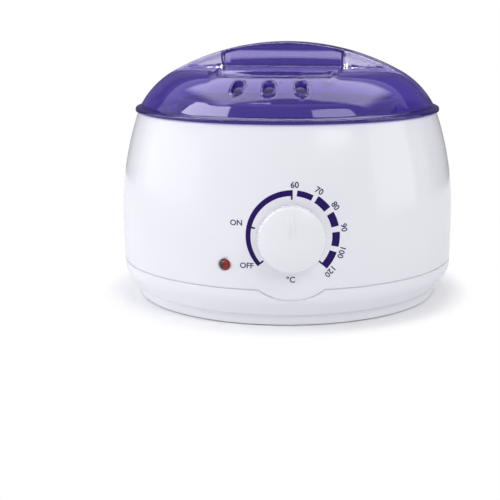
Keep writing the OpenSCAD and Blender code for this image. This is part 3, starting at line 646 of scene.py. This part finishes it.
white_satin = finish("white_satin", (0.84, 0.84, 0.885), 0.26, scale=40, fine=8, tone=0.008,
                     uneven=0.04, depth=0.00001)
rib_count = 48
rib_r = 0.0006
rib_length = knob_side + 0.0010
rib_from = 0.0004                  # from the back of the cap
rib_points = []
rib_faces = []
rib_sides = 10
rib_tall = 0.8                     # a rib's height and width, as shares of its radius
rib_wide = 1.6
rows = [(0, 0), (0.0001, 0.7), (0.0004, 1), (rib_length - 0.0012, 1), (rib_length - 0.0004, 0.6),
        (rib_length, 0)]
for along, size in rows:
    for a in spread(0, 2 * pi, rib_sides)[:-1]:
        rib_points.append((rib_r * size * cos(a) * rib_tall - knob_flare * (1 - along / rib_length),
                           rib_r * size * sin(a) * rib_wide, -along))
for i in range(len(rows) - 1):
    rib_faces += strip(range(i * rib_sides, (i + 1) * rib_sides),
                       range((i + 1) * rib_sides, (i + 2) * rib_sides))
rib = mesh_object("rib", rib_points, rib_faces)
close_up(rib)
ribs = set_round("ribs", rib, white_satin, rib_count, knob_r - 0.0001, (-pi / 2, 0, 0),
                 (0, knob_back - rib_from, knob_z))


pointer_lean = radians(4)
pointer_from = 0.0015          # from the knob's middle
pointer_to = 0.0122
pointer_aside = 0.0012


def swing(x, y, turn):
    """A place in a plane, turned about the plane's origin."""
    return x * cos(turn) - y * sin(turn), x * sin(turn) + y * cos(turn)


def pointer(x):
    """One raised line on the knob's face, from near its middle to its edge."""
    half = 0.00040
    rise = 0.00036
    line_points = []
    line_faces = []
    stops = spread(pointer_from, pointer_to, 20)
    for k, up in enumerate(stops):
        out = face_at(hypot(up, x))
        size = 0.3 if k in (0, len(stops) - 1) else 1
        for across, height in ((-1.6, -1.2), (-1, 0.55), (-0.45, 1), (0.45, 1), (1, 0.55),
                               (1.6, -1.2)):
            right, high = swing(x + across * half * (0.6 + 0.4 * size), up, pointer_lean)
            line_points.append((right, knob_back - out - rise * size * height, knob_z + high))
    rows = [tuple(range(i, i + 6)) for i in range(0, len(line_points), 6)]
    for here, there in zip(rows, rows[1:]):
        line_faces += strip(here, there)
    line_faces += [rows[0], rows[-1]]
    line = mesh_object("pointer", line_points, line_faces)
    close_up(line)
    return line


join(knob, ribs, pointer(-pointer_aside), pointer(pointer_aside))
paint(knob, white_satin)
knob.data.polygons.foreach_set("use_smooth", [True] * len(knob.data.polygons))
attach(knob, "knob")
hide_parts("control_knob")


# ---- Dial print ----
# The temperature scale, pad printed in deep purple ink straight on the housing round the knob: a
# band that widens from OFF to 60, blocks up to 120, four ticks, and the numbers and words.
print_lift = 0.00004
print_root = -0.00006
ink = finish("purple_ink", (0.019, 0.0045, 0.105), 0.5, scale=300, fine=4, tone=0.15,
             uneven=0.08, depth=0.000003, specular=0.12)


def on_housing(x, up, lift):
    """A place on the housing's skin, from its distances right of and above the dial's centre."""
    z = knob_z + up
    r = skin_r(z) + lift
    return (x, -sqrt(r * r - x * x), z)


def ink_patch(corners, across, along):
    """A flat patch of ink. corners(u, v) gives a place on the dial for u and v from 0 to 1."""
    patch_points = []
    patch_faces = []
    for lift in (print_lift, print_root):
        for i in range(along + 1):
            for j in range(across + 1):
                x, up = corners(i / along, j / across)
                patch_points.append(on_housing(x, up, lift))
    row = across + 1
    layer = row * (along + 1)
    for i in range(along):
        for j in range(across):
            a = i * row + j
            patch_faces.append((a, a + 1, a + row + 1, a + row))
            patch_faces.append((layer + a, layer + a + row, layer + a + row + 1, layer + a + 1))
    rim = [j for j in range(across)] + [across + i * row for i in range(along)]
    rim += [along * row + j for j in range(across, 0, -1)] + [i * row for i in range(along, 0, -1)]
    for a, b in zip(rim, rim[1:] + rim[:1]):
        patch_faces.append((b, a, layer + a, layer + b))
    return patch_points, patch_faces


def polar(inner_r, outer_r, first, last):
    """A piece of a band between two turns of the knob, in degrees from the top, clockwise."""
    def corners(u, v):
        turn = radians(first + (last - first) * u)
        low = inner_r(u) if callable(inner_r) else inner_r
        high = outer_r(u) if callable(outer_r) else outer_r
        r = low + (high - low) * v
        return r * sin(turn), r * cos(turn)
    return corners


scale_r = 0.0202
patches = [ink_patch(polar(scale_r, lambda u: scale_r + 0.0022 + 0.0007 * u, -132, 1.6), 2, 130)]
for first, last, width in ((7.2, 28.1, 0.0029), (33.6, 52.7, 0.0038), (59.6, 77.7, 0.0038),
                           (85.0, 103.5, 0.0038), (110.3, 133.0, 0.0038)):
    patches.append(ink_patch(polar(scale_r, scale_r + width, first, last), 2, 26))
tick = 0.00045                 # half a tick's width
tick_length = 0.0018
for turn in (-131.0, -77.0, 0.4, 132.0):
    bend = degrees(tick / scale_r)
    patches.append(ink_patch(polar(scale_r - tick_length, scale_r + 0.0003, turn - bend,
                                   turn + bend), 4, 2))
points = []
faces = []
for patch_points, patch_faces in patches:
    faces += [tuple(i + len(points) for i in face) for face in patch_faces]
    points += patch_points
dial_print = mesh_object("dial_print", points, faces)


def word(text, size, x, up, turn):
    """Printed characters centred at a place on the dial and turned clockwise, as a mesh."""
    curve = bpy.data.curves.new("word", "FONT")
    curve.body = text
    curve.size = size
    curve.align_x = "CENTER"
    curve.align_y = "CENTER"
    curve.resolution_u = 3
    curve.offset = 0.00007
    holder = placed("word", curve)
    flat = as_mesh(holder)
    bpy.data.objects.remove(holder)
    letters = bmesh.new()
    letters.from_mesh(flat)
    bmesh.ops.remove_doubles(letters, verts=letters.verts, dist=1e-7)
    bmesh.ops.triangulate(letters, faces=letters.faces)
    heights = [v.co.y for v in letters.verts]
    middle = (min(heights) + max(heights)) / 2
    made = bmesh.ops.extrude_face_region(letters, geom=letters.faces[:])
    upper = {v for v in made["geom"] if isinstance(v, bmesh.types.BMVert)}
    for v in letters.verts:
        right, high = swing(v.co.x, v.co.y - middle, -radians(turn))
        v.co = on_housing(x + right, up + high, print_lift if v in upper else print_root)
    bmesh.ops.recalc_face_normals(letters, faces=letters.faces)
    mesh = bpy.data.meshes.new("word")
    letters.to_mesh(mesh)
    letters.free()
    return placed("word", mesh)


number_r = 0.0264
number_size = 0.0042
word_size = 0.0039
words = [word(text, number_size, number_r * sin(radians(turn)), number_r * cos(radians(turn)), turn)
         for text, turn in (("70", 31.2), ("80", 55.5), ("90", 81.3), ("100", 108.6),
                            ("120", 132.6))]
words += [word(text, size, x, up, 0) for text, size, x, up in (
    ("60", number_size, 0.0016, 0.0256), ("ON", word_size, -0.0272, 0.0066),
    ("OFF", word_size, -0.0222, -0.0148), ("\u00b0C", number_size, -0.0004, -0.0215))]
join(dial_print, *words)
paint(dial_print, ink)
dial_print.data.polygons.foreach_set("use_smooth", [False] * len(dial_print.data.polygons))
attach(dial_print, "housing")


# ---- Indicator lamp ----
# A clear red lens pushed into the housing, a low dome with a flat flange, over a neon lamp. One
# half of the lens is painted near black: painted shade and painted reflection fixed on it.
lens_seat = skin_r(lamp_z)
lens_out = lens_seat + 0.0020
bulge_r = lamp_r * 0.78        # of the lens's dome, and of the bore behind it
bulge_rise = 0.0016
lens_back = lens_seat - 0.0080
lens_line = [(0, lens_out)]
lens_line += [(bulge_r * sin(a), lens_out - bulge_rise * (1 - cos(a)))
              for a in spread(0.15, pi / 2, 9)]
lens_line += [(lamp_r * 0.84, lens_seat + 0.00035), (lamp_r * 0.95, lens_seat + 0.0003),
              (lamp_r, lens_seat + 0.0001), (lamp_r, lens_back), (bulge_r, lens_back),
              (bulge_r, lens_seat - 0.0010), (lamp_r * 0.5, lens_seat - 0.0002), (0, lens_seat)]
across = Vector((cos(lamp_turn), sin(lamp_turn), 0))
lens_steps = 48


def lens_place(r, turn, out):
    return lamp_way * out + across * (r * cos(turn)) + Vector((0, 0, lamp_z + r * sin(turn)))


lens = revolved("lamp_cap", spread(0, 2 * pi, lens_steps)[:-1], lambda turn: lens_line, False,
                lens_place)
red_clear, tree = new_material("red_clear")
place = add(tree, "ShaderNodeTexCoord")
sideways = add(tree, "ShaderNodeVectorMath", {0: place["Object"], 1: across},
               operation="DOT_PRODUCT")
# painted shade and painted reflection: the lens colour goes near black on one side of its middle
painted_shade_halves = blend(tree, ramp(tree, sideways["Value"], -0.0008, 0.0004), (0.010, 0.002, 0.003, 1),
               (0.52, 0.020, 0.030, 1))
shader = add(tree, "ShaderNodeBsdfPrincipled", {
    "Base Color": painted_shade_halves, "Roughness": 0.03, "Transmission Weight": 0.55,
    "IOR": 1.49})
add(tree, "ShaderNodeOutputMaterial", {"Surface": shader["BSDF"]})
lens.data.materials.append(red_clear)
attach(lens, "housing")
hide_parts("lamp_lens")


# ---- Metal, rubber and the parts inside ----
# The pot is spun and the chamber pressed from aluminium sheet; the bail is drawn stainless wire;
# the screws are zinc plated. Inside are the thermostat, band heater, fuse, terminals and leads.
finishes = {}
for name, colour, roughness, metallic, scale, stretch, fine, tone, uneven, depth, used_on in (
        ("spun_aluminium", (0.64, 0.64, 0.65), 0.30, 1.0, 30, (1, 1, 60), 8, 0.05, 0.08, 0.00001,
         "pot pot_ears"),
        ("pressed_aluminium", (0.60, 0.60, 0.61), 0.42, 1.0, 60, (1, 1, 1), 10, 0.06, 0.10, 0.00002,
         "heating_chamber"),
        ("drawn_wire", (0.62, 0.61, 0.59), 0.22, 1.0, 120, (1, 0.2, 1), 8, 0.05, 0.06, 0.000008,
         "bail"),
        ("zinc_plate", (0.55, 0.55, 0.53), 0.33, 1.0, 200, (1, 1, 1), 6, 0.08, 0.10, 0.00001,
         "chamber_screws heater_strap strap_screw thermostat_plate plate_screws knob_clip "
         "fuse_clip lamp_ring terminal_screws block_screws base_screws"),
        ("rivet_head", (0.66, 0.66, 0.67), 0.28, 1.0, 300, (1, 1, 1), 6, 0.05, 0.08, 0.00001,
         "pot_rivets"),
        ("turned_brass", (0.60, 0.42, 0.16), 0.30, 1.0, 250, (1, 6, 1), 8, 0.06, 0.08, 0.00001,
         "thermostat_bush thermostat_nut thermostat_shaft earth_screw"),
        ("rolled_bimetal", (0.48, 0.26, 0.15), 0.38, 1.0, 150, (1, 1, 1), 8, 0.10, 0.10, 0.00001,
         "sensing_post"),
        ("bare_ceramic", (0.75, 0.72, 0.63), 0.75, 0.0, 300, (1, 1, 1), 8, 0.04, 0.10, 0.00004,
         "thermostat_body thermal_fuse"),
        ("pressed_mica", (0.42, 0.32, 0.20), 0.55, 0.0, 150, (1, 1, 3), 12, 0.25, 0.15, 0.00003,
         "heater_band"),
        ("felted_glass", (0.80, 0.76, 0.64), 0.95, 0.0, 250, (1, 1, 1), 10, 0.08, 0.04, 0.0004,
         "insulation_blanket"),
        ("lacquer_blue", (0.07, 0.17, 0.30), 0.35, 0.0, 300, (1, 1, 1), 6, 0.06, 0.08, 0.00001,
         "lamp_resistor"),
        ("moulded_cream", (0.78, 0.78, 0.70), 0.45, 0.0, 120, (1, 1, 1), 10, 0.02, 0.06, 0.00002,
         "terminal_block"),
        ("moulded_white", (0.74, 0.74, 0.76), 0.42, 0.0, 120, (1, 1, 1), 10, 0.02, 0.06, 0.00002,
         "cord_gland"),
        ("moulded_rubber", (0.025, 0.025, 0.027), 0.75, 0.0, 200, (1, 1, 1), 10, 0.15, 0.10,
         0.00006, "rubber_feet")):
    material = finish(name, colour, roughness, metallic, scale, stretch, fine, tone, uneven, depth)
    finishes.update((node, material) for node in used_on.split())
for node, colour in (("live_lead", (0.085, 0.03, 0.012)), ("switched_lead", (0.012, 0.012, 0.013)),
                     ("heater_lead", (0.012, 0.012, 0.013)), ("neutral_lead", (0.01, 0.035, 0.26)),
                     ("earth_lead", (0.06, 0.22, 0.02)), ("lamp_leads", (0.11, 0.11, 0.115))):
    finishes[node] = finish(node + "_sleeve", colour, 0.55, scale=150, fine=8, tone=0.08,
                            uneven=0.08)
neon_glass, tree = new_material("neon_glass")
shader = add(tree, "ShaderNodeBsdfPrincipled", {
    "Base Color": (0.95, 0.72, 0.50, 1), "Roughness": 0.02, "Transmission Weight": 1.0})
add(tree, "ShaderNodeOutputMaterial", {"Surface": shader["BSDF"]})
finishes["neon_lamp"] = neon_glass
for node, material in finishes.items():
    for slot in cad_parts[node].material_slots:
        slot.material = material


# ---- Lid ----
# One injection moulded cover of see-through purple plastic, 2 mm thick. A grip runs across the
# dome between two finger pockets, three vents with raised rims sit in each slope, and a skirt
# under the edge centres the lid in the rim. Nothing fixes it: it rests on the rim.
lid_turn = radians(-9)
lid_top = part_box("lid")[1].z
lid_foot = rim_z + 0.00015
edge_top = rim_z + 0.0023
edge_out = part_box("lid")[1].x
lid_wall = 0.002
shoulder = 0.046
crown_angle = radians(28.3)
dome_r = edge_out - 0.0025
dome_h = lid_top - edge_top
crown_terms = (2 * (1 - cos(crown_angle)),
               2 * (shoulder - dome_h) * (1 - cos(crown_angle)) - 2 * dome_r * sin(crown_angle),
               dome_r ** 2 + (shoulder - dome_h) ** 2 - shoulder ** 2)
crown_reach = ((-crown_terms[1] - sqrt(crown_terms[1] ** 2 - 4 * crown_terms[0] * crown_terms[2]))
               / (2 * crown_terms[0]))
crown = crown_reach + shoulder
crown_z = lid_top - crown
shoulder_r = crown_reach * sin(crown_angle)
shoulder_z = crown_z + crown_reach * cos(crown_angle)
flat_z = lid_top - 0.0134     # the flats beside the grip's ends
notch_r = 0.0484              # a finger notch's upright wall, under the front edge of the flats
notch_drop = 0.0027
notch_half = (0.0288, 0.0330) # half its length, at its foot and at its top
bar_width = 0.008             # of the solid bar behind that wall
grip_ceiling = lid_top - 0.0048   # flat underside of the solid top of the grip
grip_half = (0.009, 0.011)    # half the grip's width, between the pockets and at its ends
pocket_half = 0.034
skirt_r = recess_r - 0.0005
skirt_in = skirt_r - 0.002
skirt_low = rim_z - 0.0035
lip_round = 0.0008            # of the edge's top, and of the corners inside the skirt
inner_round = 0.0006
vent_tilt = radians(39)
vent_turns = [radians(side + step * 13.3) for side in (-90, 90) for step in (-1, 0, 1)]
vent_half = 0.00475           # half a vent's length up the slope
vent_r = 0.0028
vent_rim = 0.0009
vent_rim_rise = 0.0005
collar = (0.0011, 0.0013)     # width and height of the collar inside a vent
window_from = (0.0335, 0.0300)  # where the thin ends of the grip start, at its left and right end
window_thin = 0.85             # share of the wall that is missing there
join_r = skirt_r              # where the dome's mesh meets the swept edge's


def dome_z(r, depth):
    """Height at radius r of the dome's skin, or of the surface that lies depth inside it."""
    on_crown = r < (crown - depth) * sin(crown_angle)
    up_crown = np.sqrt(np.maximum((crown - depth) ** 2 - r ** 2, 0))
    up_shoulder = np.sqrt(np.maximum((shoulder - depth) ** 2 - (r - shoulder_r) ** 2, 0))
    return np.where(on_crown, crown_z + up_crown, shoulder_z + up_shoulder)


def dome_reach(z, depth):
    """Radius of the same surface at height z, outside the crown."""
    return shoulder_r + sqrt((shoulder - depth) ** 2 - (z - shoulder_z) ** 2)


def ease(value, low, high):
    """0 up to low, 1 from high on, and a smooth rise between."""
    t = np.clip((value - low) / (high - low), 0, 1)
    return t * t * (3 - 2 * t)


def grip_width(x):
    """Half the grip's width, which grows smoothly past the ends of the pockets."""
    wider = ease(np.abs(x), pocket_half - 0.0015, pocket_half + 0.0015)
    return grip_half[0] + (grip_half[1] - grip_half[0]) * wider


def step_down(u, high, low, edge, draft, foot):
    """Height of a drafted wall that falls from high to low as u passes 0, with rounded ends."""
    drop = np.maximum(high - low, 0)
    edge = np.minimum(edge, 0.45 * drop)
    foot = np.minimum(foot, 0.45 * drop)
    rounded = high - edge + np.sqrt(np.maximum(edge ** 2 - np.maximum(u + edge, 0) ** 2, 0))
    slope = high - edge - (drop - edge - foot) * np.clip(u / draft, 0, 1)
    hollow = low + foot - np.sqrt(np.maximum(foot ** 2 - np.minimum(u - draft - foot, 0) ** 2, 0))
    below = np.where(u < draft, slope, np.where(u < draft + foot, hollow, low))
    return np.where(u <= 0, rounded, below)


def blunt_min(a, b, width):
    """The lower of two heights, with the crease between them rounded over about width."""
    return np.minimum(a, b) - width * np.log1p(np.exp(-np.abs(a - b) / width))


# the rounding at the top, the draft and the rounding at the foot of the grip's walls, by depth
grip_walls = {0.0: (0.0015, 0.0006, 0.0008), lid_wall: (0.0006, 0.0006, 0.0014)}


def lid_z(x, y, depth):
    """Height of the lid's outer surface (depth 0) or of its inner one (depth lid_wall)."""
    deep = depth
    if depth > 0:
        thin = (ease(-x, window_from[0], window_from[0] + 0.002)
                + ease(x, window_from[1], window_from[1] + 0.002))
        thin = thin * ease(-np.abs(y), -0.0135, -0.0120)
        deep = depth * (1 - window_thin * thin)
    dome = dome_z(np.hypot(x, y), deep)
    if depth > 0:
        dome = blunt_min(dome, np.full_like(dome, grip_ceiling), 0.0002)
    beside = ease(np.abs(x), pocket_half - 0.006, pocket_half + 0.002)
    level = blunt_min(np.full_like(dome, flat_z - depth), dome, 0.0003 + 0.0019 * beside)
    notch = notch_drop * ease(-np.abs(x), -notch_half[1], -notch_half[0])
    ledge = np.minimum(level, flat_z - depth - notch)
    out = np.hypot(x, y) - notch_r + (bar_width if depth > 0 else 0)
    level = step_down(out, level, ledge, 0.0006, 0.0006, 0.0007)
    z = step_down(np.abs(y) - grip_width(x) + deep, dome, level, *grip_walls[depth])
    for turn in vent_turns:
        away = from_vent(x, y, turn, depth)
        if depth > 0:
            z = z - collar[1] * ease(-away, -collar[0] - 0.0004, -collar[0] + 0.0002)
        else:
            rise = vent_rim_rise * np.sin(pi * np.clip(away / vent_rim, 0, 1)) ** 0.7
            z = z + np.where((away > 0) & (away < vent_rim), rise, 0)
    return z


def from_vent(x, y, turn, depth):
    """Distance from the edge of the vent that lies at this turn, measured on the slope."""
    along, across = swing(x, y, -turn)
    reach = np.clip((np.hypot(along, across) - shoulder_r) / (shoulder - depth), -1, 1)
    up = (shoulder - depth) * (np.arcsin(reach) - vent_tilt)
    up = np.where(along > 0, up, 1)
    return np.hypot(np.maximum(np.abs(up) - vent_half + vent_r, 0), across) - vent_r


def vent_loop(turn, depth, grow):
    """The edge of a vent seen from above, grown by some distance: a slot with round ends."""
    loop = []
    steps = 14
    straight = vent_half - vent_r
    reach = vent_r + grow
    for end in (1, -1):
        for i in range(steps + 1):
            a = pi * i / steps - pi / 2
            loop.append((end * (straight + reach * cos(a)), end * reach * sin(a)))
        for i in range(1, 5):
            loop.append((end * straight * (1 - 2 * i / 5), end * reach))
    places = []
    for up, across in loop:
        r = shoulder_r + (shoulder - depth) * sin(vent_tilt + up / (shoulder - depth))
        places.append(swing(sqrt(r * r - across * across), across, turn))
    return places


ring_places = (0.0777, 0.0545, -0.0008)   # first, last and step of the radii of rings of points
grid_places = (-0.054, 0.0541, 0.00125)   # and of a square grid of them inside the rings
ring_count = 440                          # points to a ring
ring_gap = 0.00055                        # how near they come to the lines and to each other
grid_gap = 0.0006


def circle(r, count):
    return [(r * cos(2 * pi * i / count), r * sin(2 * pi * i / count)) for i in range(count)]


def run(points, limit=0.0775):
    """Splits a line of points where it leaves the dome's mesh."""
    lines = [[]]
    for x, y in points:
        if hypot(x, y) < limit:
            lines[-1].append((x, y))
        elif lines[-1]:
            lines.append([])
    return [line for line in lines if len(line) > 1]


def lid_lines(depth):
    """Lines that the mesh follows along the tops and feet of the grip's walls."""
    lines = []
    edge, draft, foot = grip_walls[depth]
    marks = [-edge, -0.62 * edge, -0.3 * edge, -0.08 * edge, 0, draft / 2, draft,
             draft + 0.3 * foot, draft + foot]
    columns = np.arange(-0.0785, 0.07851, 0.001)
    for side in (1, -1):
        for mark in marks:
            rows = side * (grip_width(columns) - depth + mark)
            lines += run(zip(columns, rows))
    wall_r = notch_r - (bar_width if depth > 0 else 0)
    for r in [wall_r + mark for mark in (-0.0006, -0.0003, 0, 0.0003, 0.0006, 0.0009, 0.0013)]:
        reach = asin(min(1, (notch_half[1] + 0.001) / r))
        for side in (1, -1):
            lines += run([(r * sin(a), side * r * cos(a)) for a in spread(-reach, reach, 60)])
    for low in (0, notch_drop):
        r = dome_reach(flat_z - depth - low, depth)
        lines += run([(r * sin(a), r * cos(a)) for a in spread(0.02, 2 * pi - 0.02, 260)])
    return lines


def lid_skin(depth, edge_count):
    """One surface of the dome as points and triangles, with its outer edge and its vents' edges."""
    spots = []
    bars = []

    def add_line(line, ring=False):
        first = len(spots)
        spots.extend(line)
        bars.extend((first + i, first + i + 1) for i in range(len(line) - 1))
        if ring:
            bars.append((len(spots) - 1, first))
        return list(range(first, len(spots)))

    border = add_line(circle(join_r, edge_count), ring=True)
    holes = []
    for turn in vent_turns:
        holes.append(add_line(vent_loop(turn, depth, 0), ring=True))
        rises = (0.12, 0.3, 0.5, 0.7, 0.88, 1.0) if depth == 0 else (0.8, 1.0, 1.2, 1.45, 1.8)
        for share in rises:
            add_line(vent_loop(turn, depth, share * vent_rim), ring=True)
    for line in lid_lines(depth):
        add_line(line)

    taken = {}
    cell = 0.001

    def crowded(x, y, gap):
        near = [taken.get((int(x // cell) + i, int(y // cell) + j), ())
                for i in (-1, 0, 1) for j in (-1, 0, 1)]
        return any((x - px) ** 2 + (y - py) ** 2 < gap * gap for spot in near for px, py in spot)

    for x, y in spots:
        taken.setdefault((int(x // cell), int(y // cell)), []).append((x, y))
    extra = []
    for r in np.arange(*ring_places):
        extra += [(x, y, ring_gap) for x, y in circle(r, ring_count)]
    for x in np.arange(*grid_places):
        extra += [(x, y, grid_gap) for y in np.arange(*grid_places) if hypot(x, y) < 0.0542]
    for x, y, gap in extra:
        in_a_vent = any(from_vent(np.float64(x), np.float64(y), turn, depth) < 0
                        for turn in vent_turns)
        if not in_a_vent and not crowded(x, y, gap):
            spots.append((x, y))
    spots = [Vector(spot) for spot in spots]
    places, _, faces, origins, _, _ = delaunay_2d_cdt(spots, bars, [], 0, 1e-7)
    where = {}
    for i, sources in enumerate(origins):
        for source in sources:
            where[source] = i
    places = np.array([tuple(p) for p in places])
    middles = places[np.array(faces)].mean(axis=1)
    keep = np.ones(len(faces), bool)
    for turn in vent_turns:
        keep &= from_vent(middles[:, 0], middles[:, 1], turn, depth) > -1e-6
    faces = [face for face, kept in zip(faces, keep) if kept]
    heights = lid_z(places[:, 0], places[:, 1], depth)
    points = [(x, y, z) for (x, y), z in zip(places, heights)]
    return points, faces, [where[i] for i in border], [[where[i] for i in hole] for hole in holes]


edge_count = 480
outer, outer_faces, outer_border, outer_holes = lid_skin(0.0, edge_count)
inner, inner_faces, inner_border, inner_holes = lid_skin(lid_wall, edge_count)
points = outer + inner
shift = len(outer)
faces = [tuple(face) for face in outer_faces]
faces += [tuple(shift + i for i in reversed(face)) for face in inner_faces]
for up, down in zip(outer_holes, inner_holes):
    for i in range(len(up)):
        j = (i + 1) % len(up)
        faces.append((up[i], up[j], shift + down[j], shift + down[i]))

outer_join = float(dome_z(np.float64(join_r), 0.0))
inner_join = float(dome_z(np.float64(join_r), lid_wall))
edge_line = [(dome_reach(z, 0), z) for z in spread(outer_join, edge_top + 0.0007, 6)[1:]]
edge_line += [(dome_r + 0.0003, edge_top + 0.00018), (dome_r + 0.0008, edge_top)]
edge_line += arc((edge_out - lip_round, edge_top - lip_round), lip_round, 90, 0, 6)
edge_line += arc((edge_out - edge_r, lid_foot + edge_r), edge_r, 0, -90, 4)
edge_line += [(skirt_r + 0.0003, lid_foot), (skirt_r, lid_foot - 0.0003)]
edge_line += arc((skirt_r - edge_r, skirt_low + edge_r), edge_r, 0, -90, 4)
edge_line += arc((skirt_in + edge_r, skirt_low + edge_r), edge_r, -90, -180, 4)
edge_line += [(skirt_in, edge_top - inner_round)]
edge_line += arc((skirt_in + inner_round, edge_top - inner_round), inner_round, 180, 90, 4)[1:]
edge_in = dome_reach(edge_top, lid_wall)
edge_line += [(edge_in - inner_round, edge_top), (edge_in, edge_top + inner_round)]
edge_line += [(dome_reach(z, lid_wall), z)
              for z in spread(edge_top + inner_round, inner_join, 4)[1:-1]]
rings = [outer_border]
for r, z in edge_line:
    first = len(points)
    points += [(x, y, z) for x, y in circle(r, edge_count)]
    rings.append(list(range(first, first + edge_count)))
rings.append([shift + i for i in inner_border])
for above, below in zip(rings, rings[1:]):
    faces += strip(above, below)
turned = [(*swing(x, y, lid_turn), z) for x, y, z in points]
lid = mesh_object("lid_shell", turned, faces)
in_vent = np.zeros(len(turned), np.float32)
in_vent[[shift + i for hole in inner_holes for i in hole]] = 1
lid.data.attributes.new("in_vent", "FLOAT", "POINT").data.foreach_set("value", in_vent)
close_up(lid, merge=2e-6, flat=1e-6)

purple_clear, tree = new_material("purple_clear")
place = add(tree, "ShaderNodeTexCoord")
along_grip = add(tree, "ShaderNodeMapping", {"Vector": place["Object"],
                                             "Rotation": (0, 0, -lid_turn)})
split = add(tree, "ShaderNodeSeparateXYZ", {"Vector": along_grip["Vector"]})
across, height = split["X"], split["Z"]
# painted light: the grip's thin ends, above the flats, get a lighter colour
ends = maths(tree, "ADD", ramp(tree, across, -window_from[0] + 0.0005, -window_from[0] - 0.0015),
             ramp(tree, across, window_from[1] - 0.0005, window_from[1] + 0.0015))
window_light_mask = maths(tree, "MULTIPLY", ends, ramp(tree, height, flat_z + 0.0003, flat_z + 0.0018))
# painted shade: the vents' inner walls get a near black purple colour
vent_wall_shade = add(tree, "ShaderNodeAttribute", attribute_name="in_vent")
# The lid's base colour is painted by height: painted shade low on the dome, painted light on the
# grip's top.
tone = (0.40, 0.33, 0.74, 1)    # painted shade, deepest round the edge, then painted light up towards the grip's top:
for mask, painted_tone in (
        (ramp(tree, height, flat_z - 0.0035, flat_z - 0.0005), (0.78, 0.72, 0.94, 1)),
        (ramp(tree, height, flat_z + 0.0026, flat_z + 0.0048), (0.98, 0.96, 1.0, 1)),
        (window_light_mask, (1.0, 1.0, 1.0, 1)),
        (ramp(tree, vent_wall_shade["Fac"], 0.02, 0.3), (0.035, 0.02, 0.15, 1))):
    tone = blend(tree, mask, tone, painted_tone)
clear_body = add(tree, "ShaderNodeBsdfPrincipled", {
    "Base Color": tone, "Roughness": 0.03, "Transmission Weight": 1.0, "IOR": 1.49})
cloudiness = 0.14
cloud = add(tree, "ShaderNodeBsdfDiffuse", {"Color": (0.17, 0.09, 0.62, 1)})
cloudy = either(tree, cloudiness, clear_body["BSDF"], cloud["BSDF"])
dye = add(tree, "ShaderNodeVolumeAbsorption", {"Color": (0.442, 0.388, 0.752, 1), "Density": 290})
pass_light = add(tree, "ShaderNodeBsdfTransparent", {"Color": (0.90, 0.87, 0.97, 1)})
path = add(tree, "ShaderNodeLightPath")
add(tree, "ShaderNodeOutputMaterial", {
    "Surface": either(tree, path["Is Shadow Ray"], cloudy, pass_light["BSDF"]),
    "Volume": dye["Volume"]})
lid.data.materials.append(purple_clear)
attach(lid, "lid")
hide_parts("lid")
